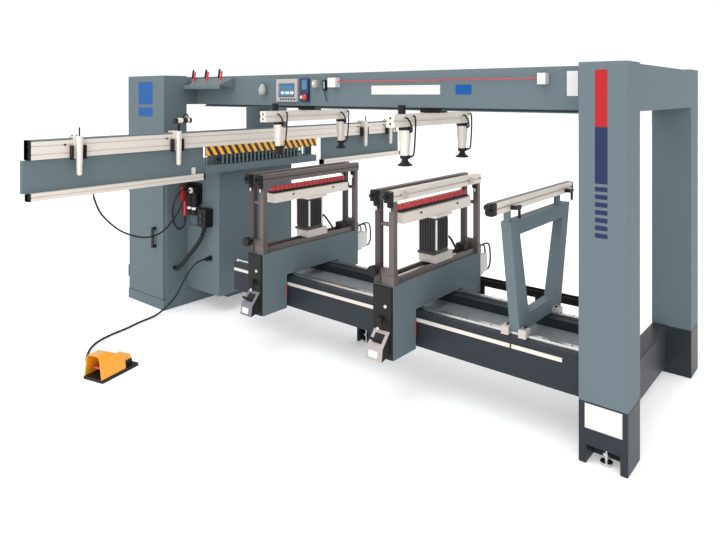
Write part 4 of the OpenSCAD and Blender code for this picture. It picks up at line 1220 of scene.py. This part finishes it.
class MACHINE_OT_support(bpy.types.Operator):
    """Dresses the third support and its bar"""
    bl_idname = "machine.support"
    bl_label = "Third support"

    def execute(self, context):
        low, high = span("support_frame")
        bar_low, bar_high = span("support_bar")
        shoulder = high.z - 0.044

        def outer_corner(a, b):
            level = abs(a.z - shoulder) < 0.001 and abs(b.z - shoulder) < 0.001
            return level and abs(a.y - b.y) < 0.001 and min(abs(a.y - low.y), abs(a.y - high.y)) < 0.002

        dressed("support_frame", sheet_paint(), corner=0.026, at_corner=outer_corner)
        side = middle_x("support_frame") + SUPPORT_BAR_WIDTH / 2

        def on_lever(c, n):
            return c.x > side + HAIR or c.z < high.z - HAIR

        def on_top(c, n):
            return c.z > bar_high.z - 0.0013

        dressed("support_bar", light_alloy_y(),
                zones=[(on_lever, black_plastic()), (on_top, bronze_alloy_y())])
        self.fittings(low, high, bar_low, bar_high)
        return {"FINISHED"}

    def fittings(self, low, high, bar_low, bar_high):
        """End caps of the bar and the bearing blocks at the frame's feet."""
        x = (low.x + high.x) / 2
        half = SUPPORT_BAR_WIDTH / 2 + 0.003
        trim = Shape()
        trim.box((x - half, bar_low.y - 0.004, high.z - 0.002),
                 (x + half, bar_low.y + 0.034, bar_high.z + 0.0005), black_plastic(), 0.004)
        for level, reach in ((0.012, 0.026), (0.034, 0.016)):
            trim.lathe([(0.009, 0), (0.013, 0.003), (0.013, reach - 0.003), (0.009, reach)],
                       (x, bar_low.y - 0.003, bar_high.z - level), -Y_AXIS, black_plastic())
        trim.box((x - half, bar_high.y, high.z + 0.004), (x + half, bar_high.y + 0.004, bar_high.z - 0.004),
                 black_plastic())
        bed_low, bed_high = span("bed_frame")
        places = []
        for y, outward in ((bed_low.y + GUIDE_INSET, -1), (bed_high.y - GUIDE_INSET, 1)):
            block = sorted((y - outward * 0.016, y + outward * 0.034))
            hook = sorted((y + outward * 0.0125, y + outward * 0.034))
            for start in (low.x - 0.034, high.x):
                end, top = start + 0.034, low.z + 0.022
                middle = (start + end) / 2
                trim.box((start, block[0], low.z), (end, block[1], top), pale_alloy(), 0.002)
                trim.box((start, hook[0], low.z - 0.014), (end, hook[1], low.z + 0.001), pale_alloy(), 0.002)
                places += line_of((middle, y - 0.006, top), (middle, y + 0.008, top), 2, Z_AXIS)
        trim.object("support_fittings", "support", "black_plastic")
        screwed("support_screws", places, "support", 0.005)


# Hold-downs

# Flared foot under a rod: radius and height
PRESSER_FOOT = [(0.030, 0), (0.036, 0.0015), (0.036, 0.005), (0.029, 0.010), (0.020, 0.017), (0.0155, 0.025),
                (0.0145, 0.033)]


class MACHINE_OT_hold_downs(bpy.types.Operator):
    """Dresses the hold-down arms, their cylinders, hoses and feet"""
    bl_idname = "machine.hold_downs"
    bl_label = "Hold-downs"

    def execute(self, context):
        for number in HEADS:
            self.arm(number)
            self.rods(number)
        return {"FINISHED"}

    def arm(self, number):
        """Arm profile with end caps, shoe, cylinders and hoses."""
        node = f"presser_arm_{number}"
        low, high = span(node)
        foot, underside = low.z, low.z + CYLINDER_LENGTH
        top = underside + ARM_HEIGHT
        x = (low.x + high.x) / 2
        dressed(node, light_alloy_y(), zones=[(lambda c, n: c.z > top + HAIR, black_plastic()),
                                              (lambda c, n: c.z < underside - HAIR, light_alloy())])
        trim = Shape()
        for level in (underside + 0.012, top - 0.022):
            trim.box((x - 0.005, low.y - FILM, level), (x + 0.005, low.y, level + 0.010), black_rubber(), 0)
        for y in PRESSER_PLACES:
            trim.lathe([(0.022, 0), (0.0235, 0.002), (0.0235, 0.014), (0.022, 0.016)], (x, y, foot), Z_AXIS,
                       black_plastic())
            trim.lathe([(0.0215, 0.016), (0.024, 0.050), (0.028, 0.090), (0.029, underside - foot - 0.016)],
                       (x, y, foot), Z_AXIS, light_alloy())
            trim.lathe([(0.029, 0), (0.031, 0.002), (0.031, 0.014), (0.029, 0.016)],
                       (x, y, underside - 0.016), Z_AXIS, black_plastic())
            for level in (foot + 0.012, underside - 0.022):
                trim.rod((x + 0.016, y, level), (x + 0.036, y, level), 0.006, black_plastic())
            trim.hose([(x + 0.034, y, foot + 0.012), (x + 0.046, y + 0.004, foot + 0.022),
                       (x + 0.048, y + 0.010, foot + 0.070), (x + 0.046, y + 0.020, underside + 0.004),
                       (x + 0.036, y + 0.030, top - 0.014), (x + 0.022, y + 0.036, top - 0.012)], 0.0042)
            trim.hose([(x + 0.034, y, underside - 0.022), (x + 0.044, y - 0.004, underside - 0.014),
                       (x + 0.044, y - 0.016, underside + 0.014), (x + 0.034, y - 0.028, top - 0.020),
                       (x + 0.022, y - 0.032, top - 0.018)], 0.0042)
        trim.object(f"arm_fittings_{number}", f"arm_{number}", "black_plastic")

    def rods(self, number):
        """Piston rods with flared black feet."""
        node = f"presser_rods_{number}"
        low, high = span(node)
        x = (low.x + high.x) / 2
        made = Shape()
        for y in PRESSER_PLACES:
            made.rod((x, y, low.z + 0.030), (x, y, high.z), ROD_RADIUS, bright_steel())
            made.lathe(PRESSER_FOOT, (x, y, low.z), Z_AXIS, black_rubber())
        made.object(f"presser_feet_{number}", f"pressers_{number}", "bright_steel", [node])


# Controls on the beam

# Turned buttons and lamp: radius and distance from the stem's rear end or the lamp's foot
ESTOP_CAP = [(0.0065, 0.0015), (0.0078, 0.003), (0.008, 0.015), (0.015, 0.016), (0.017, 0.019),
             (0.0165, 0.024), (0.013, 0.028), (0.007, 0.029)]
START_CAP = [(0.008, 0), (0.008, 0.015), (0.0085, 0.0155), (0.009, 0.017), (0.009, 0.021), (0.0065, 0.023)]
LAMP_GLASS = [(0.010, 0), (0.016, 0.002), (0.022, 0.012), (0.024, 0.024), (0.0225, 0.036), (0.017, 0.048),
              (0.011, 0.058), (0.008, 0.064)]


class MACHINE_OT_beam_controls(bpy.types.Operator):
    """Dresses the screen, the buttons, the pull wire, the lamp and the key rack"""
    bl_idname = "machine.beam_controls"
    bl_label = "Controls on the beam"

    def execute(self, context):
        self.screen()
        self.buttons()
        self.wire_and_lamp()
        self.key_rack()
        return {"FINISHED"}

    def screen(self):
        """Beige bezel, blue pane and a row of keys."""
        low, high = span("control_screen")
        pane = low.y + 0.004
        dressed("control_screen", beige_plastic(), zones=[
            (lambda c, n: abs(c.y - pane) < FILM and n.y < -0.5, screen_glass()),
            # The housing's leftmost face is black: painted shade for the dark strip beside the screen
            (lambda c, n: n.x < -0.5 and c.x < low.x + 0.001, black_plastic()),
        ])
        keys = Shape()
        for k in range(6):
            x = low.x + 0.040 + k * 0.023
            keys.box((x - 0.007, low.y - 0.0015, low.z + 0.010), (x + 0.007, low.y, low.z + 0.019),
                     base_paint(), 0.0006)
        left, right, bottom, top = low.x + 0.026, high.x - 0.026, low.z + 0.030, high.z - 0.030
        rim = 0.003
        for start, end, below, above in ((left - rim, left, bottom - rim, top + rim),
                                         (right, right + rim, bottom - rim, top + rim),
                                         (left, right, bottom - rim, bottom), (left, right, top, top + rim)):
            keys.box((start, low.y - 0.0012, below), (end, low.y, above), base_paint(), 0.0004)
        for k in range(3):
            field = left + 0.012 + k * 0.038
            keys.box((field, pane - 0.0008, bottom + 0.014), (field + 0.030, pane, bottom + 0.030),
                     grey_display(), 0.0003)
        keys.object("screen_keys", "frame", "beige_plastic")

    def buttons(self):
        """Navy box with a display, mushroom and start buttons, and the small switches beside it."""
        low, high = span("button_box")
        beside = BUTTON_BOX_RIGHT + 0.016
        handle = beside + 0.079
        dressed("button_box", navy_plastic(), zones=[(lambda c, n: c.x > handle, black_plastic()),
                                                     (lambda c, n: c.x > beside, beige_plastic())])
        right, wall, top = high.x, high.y, high.z
        face = wall - NAVY_DEPTH
        trim = Shape()
        trim.box((low.x + 0.018, face - 0.001, top - 0.063), (BUTTON_BOX_RIGHT - 0.010, face, top - 0.008),
                 screen_glass(), 0.0004)
        trim.lathe([(0.008, 0), (0.010, 0.002), (0.010, 0.008), (0.007, 0.010)],
                   (beside + 0.0435, low.y, top - 0.031), -Y_AXIS, white_plastic())
        trim.box((right - 0.014, wall - 0.0165, top - 0.058), (right - 0.006, wall - 0.0155, top - 0.019),
                 white_plastic(), 0.0004)
        trim.hose([(right - 0.011, wall - 0.010, top - 0.066), (right - 0.010, wall - 0.010, top - 0.090),
                   (right + 0.004, wall - 0.008, top - 0.129)], 0.0025, 8)
        trim.object("button_box_fittings", "frame", "navy_plastic")
        for node, body, slot, finish, cap in (
                ("estop_button", "estop", "red_plastic", red_paint(), ESTOP_CAP),
                ("start_button", "start", "white_plastic", white_plastic(), START_CAP)):
            low, high = span(node)
            made = Shape()
            made.lathe(cap, ((low.x + high.x) / 2, high.y, (low.z + high.z) / 2), -Y_AXIS, finish)
            made.object(node + "_turned", body, slot, [node])

    def wire_and_lamp(self):
        """Pull wire between white housings, and the pear-shaped lamp."""
        low, high = span("pull_wire")
        axis_y, start, end = high.y - 0.020, low.x + 0.0575, high.x - 0.0365
        dressed("pull_wire", white_plastic(),
                zones=[(lambda c, n: abs(c.y - axis_y) < 0.0032 and start < c.x < end, red_paint())])
        low, high = span("signal_lamp")
        x, y = (low.x + high.x) / 2, low.y + 0.024
        lamp = Shape()
        lamp.lathe(LAMP_GLASS, (x, y, low.z), Z_AXIS, beige_plastic())
        lamp.rod((x, y, low.z + 0.020), (x, high.y, low.z + 0.020), 0.008, white_plastic())
        lamp.object("signal_lamp_turned", "frame", "white_plastic", ["signal_lamp"])

    def key_rack(self):
        """Sloping shelf with a row of black and a row of red handled keys."""
        low, high = span("tool_rack")
        beam_top = span("overhead_beam")[1].z
        right_end = low.x + 0.388

        def above_sheet(c):
            return c.z - beam_top + (high.y - c.y) * RACK_FALL

        def on_handle(front):
            return lambda c, n: above_sheet(c) > 0.0175 and (c.y < high.y - 0.081) == front

        def on_shank(c, n):
            inside = low.x + 0.010 < c.x < right_end - 0.010
            below = above_sheet(c) < -0.008 and high.y - 0.110 < c.y < high.y - 0.052
            return above_sheet(c) > 0.0008 or (inside and below)

        dressed("tool_rack", sheet_paint(), zones=[
            (on_handle(True), red_paint()), (on_handle(False), black_plastic()), (on_shank, bright_steel())])


# Air and pedal

class MACHINE_OT_air_unit(bpy.types.Operator):
    """Dresses the air service unit, its gun, hoses and gland"""
    bl_idname = "machine.air_unit"
    bl_label = "Air unit"

    def execute(self, context):
        low, high = span("air_unit")
        left, wall = low.x, high.y

        def on_gun(c, n):
            return c.x < left + 0.031 and c.y < wall - 0.0145

        dressed("air_unit", black_plastic(), zones=[(on_gun, red_paint())])
        hoses = frame["nodes"]["air_tubes"].data.materials
        hoses.clear()
        hoses.append(black_rubber())
        dressed("cable_gland", black_plastic())
        trim = Shape()
        for k in range(2):
            centre = (left + 0.074 + 0.052 * k, wall - 0.040, low.z)
            trim.lathe([(0.0235, 0.100), (0.0245, 0.102), (0.0245, 0.114), (0.0235, 0.116)], centre, Z_AXIS,
                       bright_steel())
            trim.lathe([(0.006, -0.006), (0.010, -0.002), (0.018, 0.0)], centre, Z_AXIS, bright_steel())
        trim.lathe([(0.017, 0), (0.019, 0.002), (0.019, 0.010), (0.016, 0.012)],
                   (left + 0.122, wall - 0.062, high.z - 0.038), -Y_AXIS, white_plastic())
        for level in (0.034, 0.072):
            trim.lathe([(0.011, 0), (0.013, 0.001), (0.013, 0.006), (0.010, 0.009)],
                       (left + 0.2195, wall - 0.060, SWITCH_BOX_FOOT + level), -Y_AXIS, motor_iron())
        trim.object("air_unit_fittings", "frame", "bright_steel")
        return {"FINISHED"}


class MACHINE_OT_pedal(bpy.types.Operator):
    """Dresses the foot pedal"""
    bl_idname = "machine.pedal"
    bl_label = "Foot pedal"

    def execute(self, context):
        dressed("pedal_base", black_plastic())
        dressed("pedal_hood", orange_plastic())
        dressed("pedal_treadle", red_paint())
        return {"FINISHED"}


# Add-on

OPERATORS = (
    MACHINE_OT_stage,
    MACHINE_OT_pedal_cable,
    MACHINE_OT_painted_frame,
    MACHINE_OT_bed,
    MACHINE_OT_fence,
    MACHINE_OT_heads,
    MACHINE_OT_support,
    MACHINE_OT_hold_downs,
    MACHINE_OT_beam_controls,
    MACHINE_OT_air_unit,
    MACHINE_OT_pedal,
)


class MACHINE_PT_panel(bpy.types.Panel):
    """Lists the machine's pieces in the sidebar"""
    bl_idname = "MACHINE_PT_panel"
    bl_label = "Line boring machine"
    bl_space_type = "VIEW_3D"
    bl_region_type = "UI"
    bl_category = "Machine"

    def draw(self, context):
        for operator in OPERATORS:
            self.layout.operator(operator.bl_idname)


CLASSES = (MachineColours, MachineSizes, MachineStage, *OPERATORS, MACHINE_PT_panel)


def register():
    """Registers the settings, the operators and the panel."""
    for entry in CLASSES:
        bpy.utils.register_class(entry)
    bpy.types.Scene.machine_colours = bpy.props.PointerProperty(type=MachineColours)
    bpy.types.Scene.machine_sizes = bpy.props.PointerProperty(type=MachineSizes)
    bpy.types.Scene.machine_stage = bpy.props.PointerProperty(type=MachineStage)


def unregister():
    """Removes what register added."""
    del bpy.types.Scene.machine_stage
    del bpy.types.Scene.machine_sizes
    del bpy.types.Scene.machine_colours
    for entry in reversed(CLASSES):
        bpy.utils.unregister_class(entry)


def main():
    """Registers the add-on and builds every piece."""
    register()
    for operator in OPERATORS:
        group, action = operator.bl_idname.split(".")
        getattr(getattr(bpy.ops, group), action)()
    bpy.context.view_layer.update()


if __name__ == "__main__":
    main()
